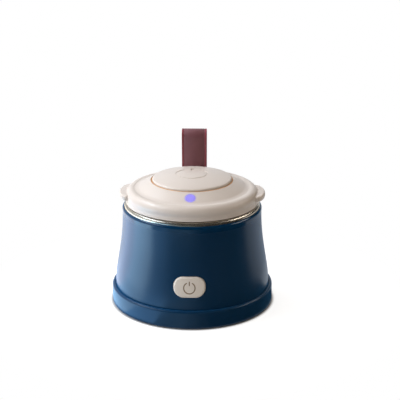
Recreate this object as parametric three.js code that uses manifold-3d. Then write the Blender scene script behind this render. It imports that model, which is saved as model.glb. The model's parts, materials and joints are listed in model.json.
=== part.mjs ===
// Portable bottle warmer: a battery base round a steel cup, and a lift-off lid with a lamp,
// a press-down centre and a strap. Millimetres, +Z up, origin on the table under the axis,
// the start button facing -Y.
import * as THREE from 'three';
import { mergeVertices } from 'three/addons/utils/BufferGeometryUtils.js';
import Module from 'manifold-3d';

// Clearances
const fit = 0.3;              // between pieces that seat on each other
const seamFit = 0.15;         // round the pressed centre of the lid and its ring
const pinFit = 0.15;          // strap pin in its cheeks, lens in its hole
const overrun = 1;            // how far a cutter runs past a face
const bite = 0.6;             // how far a rib or tab sinks into the wall that it grows from
const mergeDistance = 1e-4;   // corners closer than this are one corner

// Facets
const roundSteps = 36;
const middleSteps = 24;
const smallSteps = 16;
const tinySteps = 8;
const cornerSteps = 4;
const flankSteps = 5;
const capSteps = 3;

// Steel cup
const bodyHeight = 68.75;     // table to the crest of the rolled rim
const cupRadius = 41;         // inside, under the rim
const cupTaper = 1.5;
const cupWall = 0.8;
const cupCorner = 5;
const rimRoll = 1.95;         // radius of the rolled rim
const rimTuck = 1.2;          // how far the roll turns down outside

// Outer shell
const shellWall = 2.4;
const cradleRoom = 4.55;      // between the corners of the battery cradle and the wall
const straightTop = 13.2;     // the wall is upright below this
const neckDrop = 2.25;        // from the middle of the lip down to the neck
const neckDip = 0.15;
const lipWall = 1.05;
const lipRound = 1.85;
const lipDrop = 2.05;         // middle of the lip below the middle of the rolled rim
const flankHandleShares = [0.267, 0.451];
const shelfThickness = 2;
const shelfSlope = 1.6;
const gasketHeight = 0.9;

// Base tray, feet and screws
const ringWall = 2.2;
const ringTop = 12.3;
const ringRound = 1.5;
const ringHeel = 0.6;
const trayFloor = 2.2;
const footProud = 0.5;
const footThickness = 1.2;
const footRadius = 6;
const footEdge = 0.4;
const footInset = 9.5;        // foot centre in from the foot of the shell
const postRadius = 3.5;
const postTop = 16;
const postInset = 3.9;        // post centre in from the inner wall
const postWeb = 2;
const bossHeight = 2.1;
const screwHead = 2.4;        // head radius
const screwHeadHeight = 1.8;
const screwSink = 0.3;
const screwShank = 1.3;
const screwLength = 8.5;

// Battery
const cellDiameter = 18.3;
const cellLength = 65;
const cellSpace = 1.3;
const cellEdge = 0.8;
const cellCap = 2.8;          // radius of the raised end
const cellCapHeight = 0.3;
const cellCount = 3;
const linkThickness = 0.4;
const linkHeight = 7;
const cradleFloor = 1;
const cradleWall = 1.6;
const cradleTop = 12;
const cradleCorner = 5;
const standoffRadius = 1.7;
const standoffReach = 20;     // along the cells

// Control board and charging socket
const boardGap = 0.8;
const boardThickness = 1.2;
const boardRoom = 7.1;        // between the board and the wall
const boardTongue = 7;        // half width of the tongue that carries the socket
const partsHeight = 2.4;
const boardPartShares = [     // x, y, width and depth as shares of the board's radius, height of partsHeight
  [-0.42, 0.3, 0.3, 0.26, 1],
  [0.38, 0.34, 0.2, 0.2, 0.5],
  [0.02, -0.12, 0.22, 0.22, 0.45],
  [0.5, -0.3, 0.26, 0.16, 0.8],
  [-0.52, -0.28, 0.14, 0.3, 0.7],
];
const socketWidth = 8.94;
const socketHeight = 3.26;
const socketLength = 7.3;
const socketWall = 0.35;
const socketTongue = 0.7;
const socketSink = 1.2;       // mouth behind the shell's outer face
const portFit = 0.35;

// Heater under the cup
const carrierThickness = 1.5;
const carrierRim = 1.4;
const padThickness = 1.6;
const padRoom = 0.9;          // between the heater dish and the room for the button board
const padLap = 3;             // pad past the heater plate
const elementThickness = 0.6;
const elementInset = 2;
const elementTab = 5;
const plateThickness = 1.2;
const sensorRadius = 1.8;
const sensorLength = 3.6;

// Start button
const buttonWidth = 20.4;
const buttonHeight = 13.5;
const buttonCorner = 6.2;
const buttonMiddle = 27.5;    // above the table
const buttonProud = 0.7;
const buttonGap = 0.35;
const buttonSkin = 1.6;
const flangeLap = 1.9;
const flangeThickness = 1.4;
const buttonTravel = 0.8;
const stemRadius = 2;
const plungerRadius = 1.5;
const plungerLength = 1.6;
const switchSide = 6;
const switchDepth = 2.2;
const buttonBoardThickness = 1;
const buttonBoardHalf = 5.6;  // half its height
const grooveDepth = 1.5;
const grooveWall = 1.2;

// Lid shell
const skirtOver = 0.85;       // skirt outside the crest of the rim
const skirtWall = 2;
const skirtEdge = 0.4;
const shoulderRound = 4.5;
const shoulderMiddle = 4.95;  // above the skirt's edge
const creaseFlat = 3;
const bandRise = 5.1;
const bandWall = 2;
const wellLip = 0.25;
const ledgeThickness = 1.6;
const earReach = 4.5;
const earWidth = 27.5;
const earDepth = 6;           // from the tip in to the ear's widest place
const earThickness = 3.8;
const earLow = 3.2;
const earRound = 1;
const lidPostRadius = 2.5;
const lidPostInset = 0.3;     // post centre in from the crease
const lidScrewCount = 3;

// Pressed centre of the lid
const domeRadius = 26.2;
const domeEdge = 1.2;
const domeCrown = 3.25;
const domeSide = 0.65;
const domeLift = 0.25;        // its edge above the lip of the well
const domeWall = 1.8;
const domeTravel = 0.8;
const accentWidth = 0.55;
const guideInset = 4.2;       // guide ring in from the edge of the dome
const guideWall = 1.5;
const snapReach = 1.4;
const snapHeight = 1.4;
const snapSlots = 6;
const slotWidth = 3;
const domeStem = 2.2;

// Lamp, boards and cell in the lid
const plugDepth = 5;
const plugFit = 0.9;
const plugEdge = 0.5;
const linerFloor = 2;
const linerWall = 1.8;
const linerFlange = 1.6;
const collarHeight = 1.2;
const collarReach = 0.2;
const sealReach = 0.3;        // seal in from the cup's wall
const windowRadius = 13.7;
const windowThickness = 1;
const windowLedge = 1.7;
const windowRest = 0.8;
const lampSide = 3.5;
const lampHeight = 0.7;
const lampCircle = 6.5;
const lampCount = 3;
const lampBoardRadius = 17;
const lampBoardThickness = 1;
const lampRest = 1.5;
const lidCellWidth = 40;
const lidCellDepth = 28;
const lidCellHeight = 4.4;
const lidCellRound = 1.5;
const lidBoardGap = 0.5;      // between the board and the screw posts
const lidBoardThickness = 1;
const lidPartsHeight = 2;
const lidPartShares = [
  [-0.45, 0.25, 0.28, 0.22, 1],
  [0.42, 0.3, 0.2, 0.2, 0.6],
  [0.48, -0.25, 0.16, 0.3, 0.8],
  [0, -0.86, 0.1, 0.06, 0.3],
];
const pillarRadius = 1.6;
const pillarInset = 3.5;      // pillar centre in from the edge of the board
const pillarCount = 4;
const lidSwitchHeight = 3.4;
const lidPlungerRadius = 1.6;
const lidPlungerLength = 2.1;
const lidScrewHead = 2.1;
const lidScrewHeadHeight = 1.6;
const lidScrewShank = 1.1;
const lidScrewLength = 8;

// Indicator lens
const lensRadius = 3;
const lensCrown = 0.5;
const lensFlange = 0.8;
const lensPipe = 1.6;
const lensLength = 5.5;
const lensShare = 0.5;        // its place on the band, from the crease inwards

// Strap and its pin
const strapWidth = 17.2;
const strapThickness = 1.9;
const strapTopRadius = 5.5;
const strapTop = 105.4;       // above the table
const strapLean = 0.5;
const pinRadius = 1.5;
const pinHeight = 4;          // above the skirt's edge
const cheekThickness = 2.6;
const cheekRadius = 3.3;
const cheekGap = 0.4;
const pinStandOff = 0.7;      // strap clear of the skirt

// Sizes that follow: the rim, lip and wall of the body
const rimMiddle = cupRadius + rimRoll;
const rimOuter = cupRadius + 2 * rimRoll;
const rimZ = bodyHeight - rimRoll;
const lipInner = rimOuter + fit;
const lipOuter = lipInner + lipWall;
const lipZ = rimZ - lipDrop;
const neckRadius = lipOuter - neckDip;
const neckZ = lipZ - neckDrop;
const tuckZ = rimZ - rimTuck;
const shelfZ = tuckZ - gasketHeight - 2 * fit;
const shelfInner = cupRadius + cupWall + fit;

// Sizes that follow: the battery and the foot of the body round it
const cellRadius = cellDiameter / 2;
const cellPitch = cellDiameter + cellSpace;
const cellRows = Array.from({ length: cellCount }, (_, i) => (i - (cellCount - 1) / 2) * cellPitch);
const endRoom = 2 * fit + linkThickness;
const linkLength = (cellCount - 1) * cellPitch + cellRadius;
const troughHalf = cellLength / 2 + endRoom;
const cradleHalfLength = troughHalf + cradleWall;
const cradleHalfWidth = cellRows[cellCount - 1] + cellRadius + fit + cradleWall;
const cradleReach = cradleCorner + Math.hypot(cradleHalfLength - cradleCorner, cradleHalfWidth - cradleCorner);
const innerRadius = cradleReach + cradleRoom;
const shellRadius = innerRadius + shellWall;
const ringInner = shellRadius + fit;
const ringOuter = ringInner + ringWall;
const screwCircle = innerRadius - postInset;
const bossRadius = postInset - fit;
const footCircle = shellRadius - footInset;
const boardRadius = innerRadius - boardRoom;

// Sizes that follow: the stack from the table up
const trayTop = footProud + trayFloor;
const floorZ = trayTop + fit;
const cellZ = floorZ + cradleFloor + fit + cellRadius;
const boardZ = cellZ + cellRadius + boardGap;
const boardTop = boardZ + boardThickness;
const carrierZ = boardTop + partsHeight + fit;
const padZ = carrierZ + carrierThickness + fit;
const elementZ = padZ + padThickness + fit;
const plateZ = elementZ + elementThickness + fit;
const cupFloorZ = plateZ + plateThickness + fit + cupWall;
const cupFloorRadius = cupRadius - cupTaper;
const cupFlat = cupFloorRadius - cupCorner;

// Sizes that follow: the lid, measured from its skirt's edge
const lidZ = bodyHeight + fit;
const lidRadius = rimMiddle + skirtOver;
const shoulderTop = shoulderMiddle + shoulderRound;
const creaseRadius = lidRadius - shoulderRound - creaseFlat;
const wellRadius = domeRadius + 2 * seamFit + accentWidth;
const bandInner = wellRadius + wellLip;
const bandTop = shoulderTop + bandRise;
const bandAngle = Math.atan2(bandRise, creaseRadius - bandInner);
const domeEdgeZ = bandTop + domeLift;
const domeLow = domeEdgeZ - domeSide;
const ledgeTop = domeLow - domeTravel - fit;
const ledgeLow = ledgeTop - ledgeThickness;
const guideRadius = domeRadius - guideInset;
const capRadius = domeRadius - domeEdge;
const capZ = domeEdgeZ + domeEdge;
const crownZ = capZ + domeCrown;
const capSphere = (capRadius ** 2 + domeCrown ** 2) / (2 * domeCrown);
const linerTop = linerFloor - plugDepth;
const windowZ = windowRest + fit - plugDepth;
const lampZ = windowZ + windowThickness + fit;
const lampBoardZ = lampZ + lampHeight + fit;
const lidCellZ = lampBoardZ + lampBoardThickness + fit;
const lidBoardZ = lidCellZ + lidCellHeight + fit;
const lidBoardTop = lidBoardZ + lidBoardThickness;
const lidSwitchZ = lidBoardTop + fit;
const lidSwitchTop = lidSwitchZ + lidSwitchHeight;
const lidPlungerZ = lidSwitchTop - lidPlungerLength + domeTravel + fit + bite;
const domeStemZ = lidPlungerZ + lidPlungerLength + fit;
const plugRadius = cupRadius - plugFit;
const sealOuter = cupRadius - sealReach;
const collarRadius = lidRadius - skirtWall - fit - collarReach;
const linerWallRadius = plugRadius - linerWall + fit;
const lidPostCircle = creaseRadius - lidPostInset;
const lidBossRadius = linerWallRadius - lidPostCircle;
const lidBoardRadius = lidPostCircle - lidPostRadius - lidBoardGap;
const pillarCircle = lidBoardRadius - pillarInset;
const pinY = lidRadius + pinStandOff + pinRadius + fit + strapThickness;

// Colours, roughness and metalness of the finishes
const finishes = {
  navy: { color: 0x16405f, roughness: 0.45, metalness: 0 },
  cream: { color: 0xddd2c6, roughness: 0.5, metalness: 0 },
  button: { color: 0xc9bdb1, roughness: 0.5, metalness: 0 },
  steel: { color: 0xc9c8c6, roughness: 0.22, metalness: 1 },
  gold: { color: 0xb8894f, roughness: 0.35, metalness: 1 },
  lens: { color: 0xa79dff, roughness: 0.3, metalness: 0 },
  leather: { color: 0x6b3c42, roughness: 0.6, metalness: 0 },
  rubber: { color: 0x2a2c2e, roughness: 0.85, metalness: 0 },
  silicone: { color: 0xd8d6d0, roughness: 0.7, metalness: 0 },
  aluminium: { color: 0xb9bcbe, roughness: 0.4, metalness: 1 },
  film: { color: 0xb26a1e, roughness: 0.35, metalness: 0 },
  felt: { color: 0xe2ded2, roughness: 0.95, metalness: 0 },
  board: { color: 0x1c5c3a, roughness: 0.5, metalness: 0 },
  cell: { color: 0x2f6fb0, roughness: 0.4, metalness: 0 },
  nickel: { color: 0xaaa79f, roughness: 0.3, metalness: 1 },
  black: { color: 0x1d1e20, roughness: 0.6, metalness: 0 },
  quartz: { color: 0xdfe9ee, roughness: 0.05, metalness: 0 },
  lamp: { color: 0xe6e2c8, roughness: 0.3, metalness: 0 },
};

const wasm = await Module();
wasm.setup();

// Six times the volume that the triangles enclose; negative where they face inwards.
function signedVolume(corners, triangles) {
  let total = 0;
  const [a, b, c] = [new THREE.Vector3(), new THREE.Vector3(), new THREE.Vector3()];
  for (let i = 0; i < triangles.length; i += 3) {
    a.fromArray(corners, 3 * triangles[i]);
    b.fromArray(corners, 3 * triangles[i + 1]);
    c.fromArray(corners, 3 * triangles[i + 2]);
    total += a.dot(b.cross(c));
  }
  return total;
}

// The solid of a closed geometry: shared corners merged, flat slivers dropped, faces out.
function solidOf(shape) {
  if (!shape.isBufferGeometry) return shape;
  const bare = shape.clone();
  bare.deleteAttribute('normal');
  bare.deleteAttribute('uv');
  const merged = mergeVertices(bare, mergeDistance);
  const corners = merged.attributes.position.array;
  const index = merged.index.array;
  const triangles = [];
  for (let i = 0; i < index.length; i += 3) {
    const [a, b, c] = [index[i], index[i + 1], index[i + 2]];
    if (a !== b && b !== c && c !== a) triangles.push(a, b, c);
  }
  if (signedVolume(corners, triangles) < 0) triangles.reverse();
  return new wasm.Manifold(new wasm.Mesh({
    numProp: 3,
    vertProperties: new Float32Array(corners),
    triVerts: new Uint32Array(triangles),
  }));
}

const join = (first, ...others) => others.reduce((sum, one) => sum.add(solidOf(one)), solidOf(first));
const cut = (first, ...others) => others.reduce((rest, one) => rest.subtract(solidOf(one)), solidOf(first));
const common = (first, ...others) => others.reduce((rest, one) => rest.intersect(solidOf(one)), solidOf(first));

function geometryOf(shape) {
  const mesh = solidOf(shape).getMesh();
  const geometry = new THREE.BufferGeometry();
  geometry.setAttribute('position', new THREE.BufferAttribute(mesh.vertProperties, 3));
  geometry.setIndex(new THREE.BufferAttribute(mesh.triVerts, 1));
  geometry.computeVertexNormals();
  return geometry;
}

// Points on an arc of an [radius, height] profile, between two angles in degrees.
function arc(r, z, radius, from, to, steps = cornerSteps) {
  return Array.from({ length: steps + 1 }, (_, i) => {
    const angle = THREE.MathUtils.degToRad(from + (to - from) * i / steps);
    return [r + radius * Math.cos(angle), z + radius * Math.sin(angle)];
  });
}

// A profile turned about Z. One that doesn't start on the axis closes on itself.
function turned(profile, steps = roundSteps) {
  const points = profile.map(([r, z]) => new THREE.Vector2(Math.max(r, 0), z));
  if (points[0].x > 0) points.push(points[0].clone());
  return new THREE.LatheGeometry(points, steps).rotateX(Math.PI / 2);
}

function rod(radius, low, high, steps = smallSteps) {
  const geometry = new THREE.CylinderGeometry(radius, radius, high - low, steps);
  return geometry.rotateX(Math.PI / 2).translate(0, 0, (low + high) / 2);
}

function block(width, depth, low, high) {
  return new THREE.BoxGeometry(width, depth, high - low).translate(0, 0, (low + high) / 2);
}

// A rectangle with round corners, centred.
function roundedRectangle(width, height, corner) {
  const [x, y] = [width / 2 - corner, height / 2 - corner];
  const quarter = Math.PI / 2;
  const outline = new THREE.Shape();
  outline.absarc(x, y, corner, 0, quarter);
  outline.absarc(-x, y, corner, quarter, 2 * quarter);
  outline.absarc(-x, -y, corner, 2 * quarter, 3 * quarter);
  outline.absarc(x, -y, corner, 3 * quarter, 4 * quarter);
  return outline;
}

// An outline raised along Z, with its two edges rounded.
function prism(outline, low, high, round = 0, bevelSteps = 1) {
  return new THREE.ExtrudeGeometry(outline, {
    depth: high - low - 2 * round,
    curveSegments: cornerSteps,
    bevelEnabled: round > 0,
    bevelThickness: round,
    bevelSize: round,
    bevelOffset: -round,
    bevelSegments: bevelSteps,
  }).translate(0, 0, low + round);
}

// An oval, centred.
function oval(halfWidth, halfHeight) {
  const outline = new THREE.Shape();
  const quarter = Math.PI / 2;
  [0, 1, 2, 3].forEach((i) => (
    outline.absellipse(0, 0, halfWidth, halfHeight, i * quarter, (i + 1) * quarter)
  ));
  return outline;
}

// A prism that stands on the front of the body: low and high are distances from the axis.
const frontward = (geometry, z) => geometry.rotateX(Math.PI / 2).translate(0, 0, z);
const rearward = (geometry, z) => geometry.rotateX(-Math.PI / 2).translate(0, 0, z);

const around = (count, start = 0) => Array.from({ length: count }, (_, i) => start + i * 2 * Math.PI / count);
const spot = (radius, angle) => [radius * Math.cos(angle), radius * Math.sin(angle)];
const moved = (geometry, [x, y]) => geometry.translate(x, y, 0);

// The wall of the shell from its foot to its neck, drawn in by a radial offset.
function flank(inset = 0, top = neckZ) {
  const height = neckZ - straightTop;
  const [lowShare, highShare] = flankHandleShares;
  const curve = new THREE.CubicBezierCurve(
    new THREE.Vector2(shellRadius, straightTop),
    new THREE.Vector2(shellRadius, straightTop + lowShare * height),
    new THREE.Vector2(neckRadius, neckZ - highShare * height),
    new THREE.Vector2(neckRadius, neckZ),
  );
  const points = [[shellRadius, floorZ], ...curve.getPoints(flankSteps).map((p) => [p.x, p.y])];
  return points.filter(([, z]) => z <= top).map(([r, z]) => [r - inset, z]);
}

// Radius of the faceted flank at a height.
function flankRadius(z) {
  const points = flank();
  const after = points.findIndex((point) => point[1] > z);
  const [[r0, z0], [r1, z1]] = [points[after - 1], points[after]];
  return r0 + (r1 - r0) * (z - z0) / (z1 - z0);
}

// Everything inside the flank, drawn in by a radial offset: it trims what follows the wall.
const insideFlank = (inset) => turned([[0, floorZ], ...flank(inset), [0, neckZ]]);

// Blocks on a board, from a table of shares of its radius.
const boardParts = (table, radius, low, height) => table.map(([x, y, width, depth, rise]) => (
  block(width * radius, depth * radius, low - bite, low + rise * height).translate(x * radius, y * radius, 0)
));

function piece(group, name, shape, finish, place = [0, 0, 0]) {
  const mesh = new THREE.Mesh(geometryOf(shape), new THREE.MeshStandardMaterial(finishes[finish]));
  mesh.name = name;
  mesh.position.set(...place);
  group.add(mesh);
  return mesh;
}

const screwSpots = around(4).map((angle) => spot(screwCircle, angle));
const footSpots = around(4, Math.PI / 4).map((angle) => spot(footCircle, angle));

// The tray that the body stands in: a floor with a ring round the foot of the shell.
function baseTray() {
  const profile = [
    [0, footProud],
    ...arc(ringOuter - ringHeel, footProud + ringHeel, ringHeel, -90, 0, 1),
    ...arc(ringOuter - ringRound, ringTop - ringRound, ringRound, 0, 90, 3),
    [ringInner, ringTop],
    [ringInner, trayTop],
    [0, trayTop],
  ];
  const bosses = screwSpots.map((at) => moved(rod(bossRadius, footProud + bite, trayTop + bossHeight, tinySteps), at));
  const sinkTop = footProud + screwSink + screwHeadHeight + fit;
  const sinks = screwSpots.map((at) => moved(rod(screwHead + fit, footProud - overrun, sinkTop, tinySteps), at));
  const holeTop = trayTop + bossHeight + overrun;
  const holes = screwSpots.map((at) => moved(rod(screwShank + fit, 0, holeTop, tinySteps), at));
  const recesses = footSpots.map((at) => (
    moved(rod(footRadius + fit, footProud - overrun, footThickness + fit), at)
  ));
  return cut(join(turned(profile), ...bosses), ...sinks, ...holes, ...recesses);
}

function foot() {
  return turned([
    [0, 0], [footRadius - footEdge, 0], [footRadius, footEdge], [footRadius, footThickness], [0, footThickness],
  ], smallSteps);
}

// A pan-head screw that points up, its head's underside at zero.
function screw(head, headHeight, shank, length) {
  return turned([
    [0, -headHeight], [head - headHeight / 3, -headHeight], [head, -headHeight / 2], [head, 0],
    [shank, 0], [shank, length - shank], [shank / 2, length], [0, length],
  ], tinySteps);
}

// Side ribs with grooves for the edges of the small board behind the start button.
const innerAtButton = flankRadius(buttonMiddle) - shellWall;
const flangeBack = innerAtButton - fit - flangeThickness;
const stemEnd = flangeBack - fit;
const switchFront = stemEnd - buttonTravel - fit;
const buttonBoardFront = switchFront - switchDepth - fit;
const buttonBoardBack = buttonBoardFront - buttonBoardThickness;
const flangeHalf = buttonWidth / 2 + flangeLap;
const ribInner = flangeHalf + fit;
const ribOuter = ribInner + grooveDepth + grooveWall;
const ribBack = buttonBoardBack - fit - grooveWall;
const buttonBoardWidth = 2 * (ribInner + grooveDepth - fit);

function boardRib(side) {
  const middle = side * (ribInner + ribOuter) / 2;
  const body = frontward(block(ribOuter - ribInner, 2 * buttonBoardHalf, ribBack, shellRadius), buttonMiddle)
    .translate(middle, 0, 0);
  const groove = frontward(
    block(2 * grooveDepth, 4 * buttonBoardHalf, buttonBoardBack - fit, buttonBoardFront + fit),
    buttonMiddle,
  ).translate(side * ribInner, 0, 0);
  return cut(common(body, insideFlank(shellWall - bite)), groove);
}

// The tapered navy wall: lip and gasket shelf above, screw posts below, openings front and rear.
function outerShell() {
  const lipMiddle = lipOuter - lipRound;
  const lipEnd = THREE.MathUtils.radToDeg(Math.acos((lipInner - lipMiddle) / lipRound));
  const shelfLow = shelfZ - shelfThickness;
  const profile = [
    ...flank(),
    ...arc(lipMiddle, lipZ, lipRound, 0, lipEnd, 3),
    [lipInner, shelfZ],
    [shelfInner, shelfZ],
    [shelfInner, shelfLow],
    ...flank(shellWall, shelfLow - shelfSlope).reverse(),
  ];
  const postLow = trayTop + bossHeight + fit;
  const posts = screwSpots.map((at) => moved(rod(postRadius, postLow, postTop, tinySteps), at));
  const webLength = postInset + bite;
  const webs = around(4).map((angle) => block(webLength, postWeb, postLow, postTop)
    .translate(screwCircle + webLength / 2, 0, 0).rotateZ(angle));
  const pilots = screwSpots.map((at) => (
    moved(rod(screwShank + fit, postLow - overrun, postLow + screwLength, tinySteps), at)
  ));
  const buttonHole = roundedRectangle(
    buttonWidth + 2 * buttonGap, buttonHeight + 2 * buttonGap, buttonCorner + buttonGap,
  );
  return cut(
    join(turned(profile), ...posts, ...webs, boardRib(-1), boardRib(1)),
    ...pilots,
    frontward(prism(buttonHole, innerAtButton - shellWall, ringOuter), buttonMiddle),
    rearward(prism(socketOutline(portFit), innerAtButton - shellWall, ringOuter), socketZ),
  );
}

// The drawn cup with its rolled rim.
function steelCup() {
  const corner = [cupFlat, cupFloorZ + cupCorner];
  return turned([
    [0, cupFloorZ],
    ...arc(...corner, cupCorner, -90, 0, 3),
    ...arc(rimMiddle, rimZ, rimRoll, 180, 0, 6),
    [rimOuter, tuckZ],
    [cupRadius + cupWall, tuckZ],
    ...arc(...corner, cupCorner + cupWall, 0, -90, 2),
    [0, cupFloorZ - cupWall],
  ]);
}

const ringOf = (inner, outer, low, high, steps = middleSteps) => turned([
  [inner, low], [outer, low], [outer, high], [inner, high],
], steps);

// The dish that holds the heater stack against the cup, cut back for the button board.
const carrierRadius = flankRadius(carrierZ + carrierThickness) - shellWall - fit;
const frontRoom = ribBack - fit;
const padRadius = frontRoom - padRoom - carrierRim - 2 * fit;
const plateRadius = padRadius - padLap;

function heaterCarrier() {
  const top = carrierZ + carrierThickness;
  const rimTop = plateZ + plateThickness;
  const inner = padRadius + fit;
  const dish = turned([
    [sensorRadius + fit, carrierZ], [carrierRadius, carrierZ], [carrierRadius, top],
    [inner + carrierRim, top], [inner + carrierRim, rimTop], [inner, rimTop],
    [inner, top], [sensorRadius + fit, top],
  ], middleSteps);
  return cut(dish, frontRoomBlock(carrierZ, top));
}

// The space in front of the heater that the button board and its ribs take.
function frontRoomBlock(low, high) {
  const depth = ringOuter - frontRoom;
  return block(2 * (ribOuter + fit), depth, low - overrun, high + overrun)
    .translate(0, -frontRoom - depth / 2, 0);
}

function heaterElement() {
  const radius = plateRadius - elementInset;
  const ring = ringOf(sensorRadius + fit, radius, elementZ, elementZ + elementThickness);
  const tab = block(elementTab, 2 * elementTab, elementZ, elementZ + elementThickness);
  return join(ring, tab.translate(radius, 0, 0));
}

// The cradle under the cells: a block with a trough for each cell and posts for the board.
const linkLow = cellZ - linkHeight / 2;
const standoffSpots = [-1, 1].flatMap((sx) => [-1, 1].map((sy) => (
  [sx * standoffReach, sy * (cradleHalfWidth + cellSpace / 2)]
)));

function cellTray() {
  const outline = roundedRectangle(2 * cradleHalfLength, 2 * cradleHalfWidth, cradleCorner);
  const troughs = cellRows.map((y) => (
    rod(cellRadius + fit, -troughHalf, troughHalf).rotateY(Math.PI / 2).translate(0, y, cellZ)
  ));
  const linkRooms = [-1, 1].map((side) => (
    block(endRoom, linkLength + 2 * fit, linkLow - fit, cradleTop + overrun)
      .translate(side * (troughHalf - endRoom / 2), 0, 0)
  ));
  const posts = standoffSpots.map((at) => moved(rod(standoffRadius, floorZ, boardZ - fit, tinySteps), at));
  return join(cut(prism(outline, floorZ, cradleTop), ...troughs, ...linkRooms), ...posts);
}

function cell() {
  const half = cellLength / 2;
  return turned([
    [0, -half], ...arc(cellRadius - cellEdge, cellEdge - half, cellEdge, -90, 0, 1),
    ...arc(cellRadius - cellEdge, half - cellEdge - cellCapHeight, cellEdge, 0, 90, 1),
    [cellCap, half - cellCapHeight], [cellCap, half], [0, half],
  ], smallSteps).rotateY(Math.PI / 2);
}

// The main board: round, with a tongue for the socket behind and a bay for the button board.
const socketZ = boardZ - fit - socketHeight / 2;
const socketMouth = flankRadius(socketZ) - socketSink;
const socketOutline = (grow) => roundedRectangle(
  socketWidth + 2 * grow, socketHeight + 2 * grow, socketHeight / 2 + grow - mergeDistance,
);

function controlBoard() {
  const tongueEnd = flankRadius(boardTop) - shellWall - 2 * fit - postWeb / 2;
  const tongue = block(2 * boardTongue, tongueEnd, boardZ, boardTop).translate(0, tongueEnd / 2, 0);
  const plate = join(rod(boardRadius, boardZ, boardTop, middleSteps), tongue);
  return join(
    cut(plate, frontRoomBlock(boardZ, boardTop)),
    ...boardParts(boardPartShares, boardRadius, boardTop, partsHeight),
  );
}

// A flat oval metal socket, open at its mouth, with its contact tongue inside.
function chargeSocket() {
  const back = socketMouth - socketLength;
  const can = prism(socketOutline(0), back, socketMouth);
  const room = prism(socketOutline(-socketWall), back + 2 * socketWall, socketMouth + overrun);
  const tongue = block(socketWidth - socketHeight, socketTongue, back + socketWall, socketMouth - overrun);
  return rearward(geometryOf(join(cut(can, room), tongue)), socketZ);
}

// The start button: a hollow cap whose face and flange follow the shell.
function startButton() {
  const deep = flangeBack - overrun - shellWall;
  const face = roundedRectangle(buttonWidth, buttonHeight, buttonCorner);
  const flange = roundedRectangle(2 * flangeHalf, buttonHeight + 2 * flangeLap, buttonCorner + flangeLap);
  const pocket = roundedRectangle(
    buttonWidth - 2 * buttonSkin, buttonHeight - 2 * buttonSkin, buttonCorner - buttonSkin,
  );
  const cap = common(frontward(prism(face, deep, ringOuter), buttonMiddle), insideFlank(-buttonProud));
  const plate = common(frontward(prism(flange, deep, ringOuter), buttonMiddle), insideFlank(shellWall + fit));
  const hollow = common(
    frontward(prism(pocket, deep - overrun, ringOuter), buttonMiddle),
    insideFlank(buttonSkin - buttonProud),
  );
  const stem = frontward(rod(stemRadius, stemEnd, innerAtButton + shellWall - buttonSkin / 2), buttonMiddle);
  const behind = insideFlank(shellWall + fit + flangeThickness);
  return join(cut(join(cap, plate), behind, hollow), stem);
}

// A small square switch with a bore for its plunger, facing +Z.
function tactSwitch(side, low, high, bore, boreDepth) {
  return cut(block(side, side, low, high), rod(bore, high - boreDepth, high + overrun, tinySteps));
}

// The lid's inner face, under the shoulder and the band.
const bandDrop = bandWall / Math.cos(bandAngle);
const bandUnder = (r) => shoulderTop + (creaseRadius - r) * Math.tan(bandAngle) - bandDrop;
const hubRadius = creaseRadius - (ledgeLow - bandUnder(creaseRadius)) / Math.tan(bandAngle);

function lidShell() {
  const shoulder = lidRadius - shoulderRound;
  const inner = shoulderRound - skirtWall;
  const body = turned([
    [lidRadius - skirtWall, 0],
    [lidRadius - skirtEdge, 0],
    [lidRadius, skirtEdge],
    ...arc(shoulder, shoulderMiddle, shoulderRound, 0, 90, 5),
    [creaseRadius, shoulderTop],
    [bandInner, bandTop],
    [wellRadius, bandTop - wellLip],
    [wellRadius, ledgeTop],
    [guideRadius + fit, ledgeTop],
    [guideRadius + fit, ledgeLow],
    [hubRadius, ledgeLow],
    [creaseRadius, bandUnder(creaseRadius)],
    ...arc(shoulder, shoulderMiddle, inner, 90, 0, 2),
  ]);
  const postLow = fit - skirtWall / 2;
  const postTopZ = bandUnder(lidPostCircle) + bite;
  const posts = lidScrewSpots.map((at) => moved(rod(lidPostRadius, postLow, postTopZ, tinySteps), at));
  const pilots = lidScrewSpots.map((at) => (
    moved(rod(lidScrewShank + fit, postLow - overrun, lidScrewZ + lidScrewLength + fit, tinySteps), at)
  ));
  const tabs = cut(join(lidEar(-1), lidEar(1), strapCheek(-1), strapCheek(1)), skirtCore());
  return cut(join(body, ...posts, tabs), ...pilots, lensHole(), strapPinRod(pinFit));
}

const lidScrewSpots = around(lidScrewCount, Math.PI / 2).map((angle) => spot(lidPostCircle, angle));

// The inside half of the skirt, which trims whatever grows from its outer face.
const skirtCore = () => rod(lidRadius - skirtWall / 2, -overrun, shoulderTop + overrun, roundSteps);

// A finger tab on the side of the skirt: the outer half of an oval.
function lidEar(side) {
  const middle = lidRadius + earReach - earDepth;
  const plate = prism(oval(earDepth, earWidth / 2), earLow, earLow + earThickness, earRound, 2);
  return plate.translate(side * middle, 0, 0);
}

// A cheek behind the lid that holds one end of the strap's pin.
function strapCheek(side) {
  const root = lidRadius - skirtWall - overrun;
  const outline = new THREE.Shape();
  outline.moveTo(root, pinHeight - cheekRadius);
  outline.absarc(pinY, pinHeight, cheekRadius, -Math.PI / 2, Math.PI / 2);
  outline.lineTo(root, pinHeight + cheekRadius);
  const middle = strapWidth / 2 + cheekGap + cheekThickness / 2;
  const plate = prism(outline, -cheekThickness / 2, cheekThickness / 2);
  // the outline's x and y become y and z, and its depth becomes x
  return plate.rotateX(Math.PI / 2).rotateZ(Math.PI / 2).translate(side * middle, 0, 0);
}

function strapPinRod(grow = 0) {
  const half = strapWidth / 2 + cheekGap + cheekThickness + (grow > 0 ? overrun : 0);
  return rod(pinRadius + grow, -half, half, tinySteps).rotateY(Math.PI / 2).translate(0, pinY, pinHeight);
}

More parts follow.
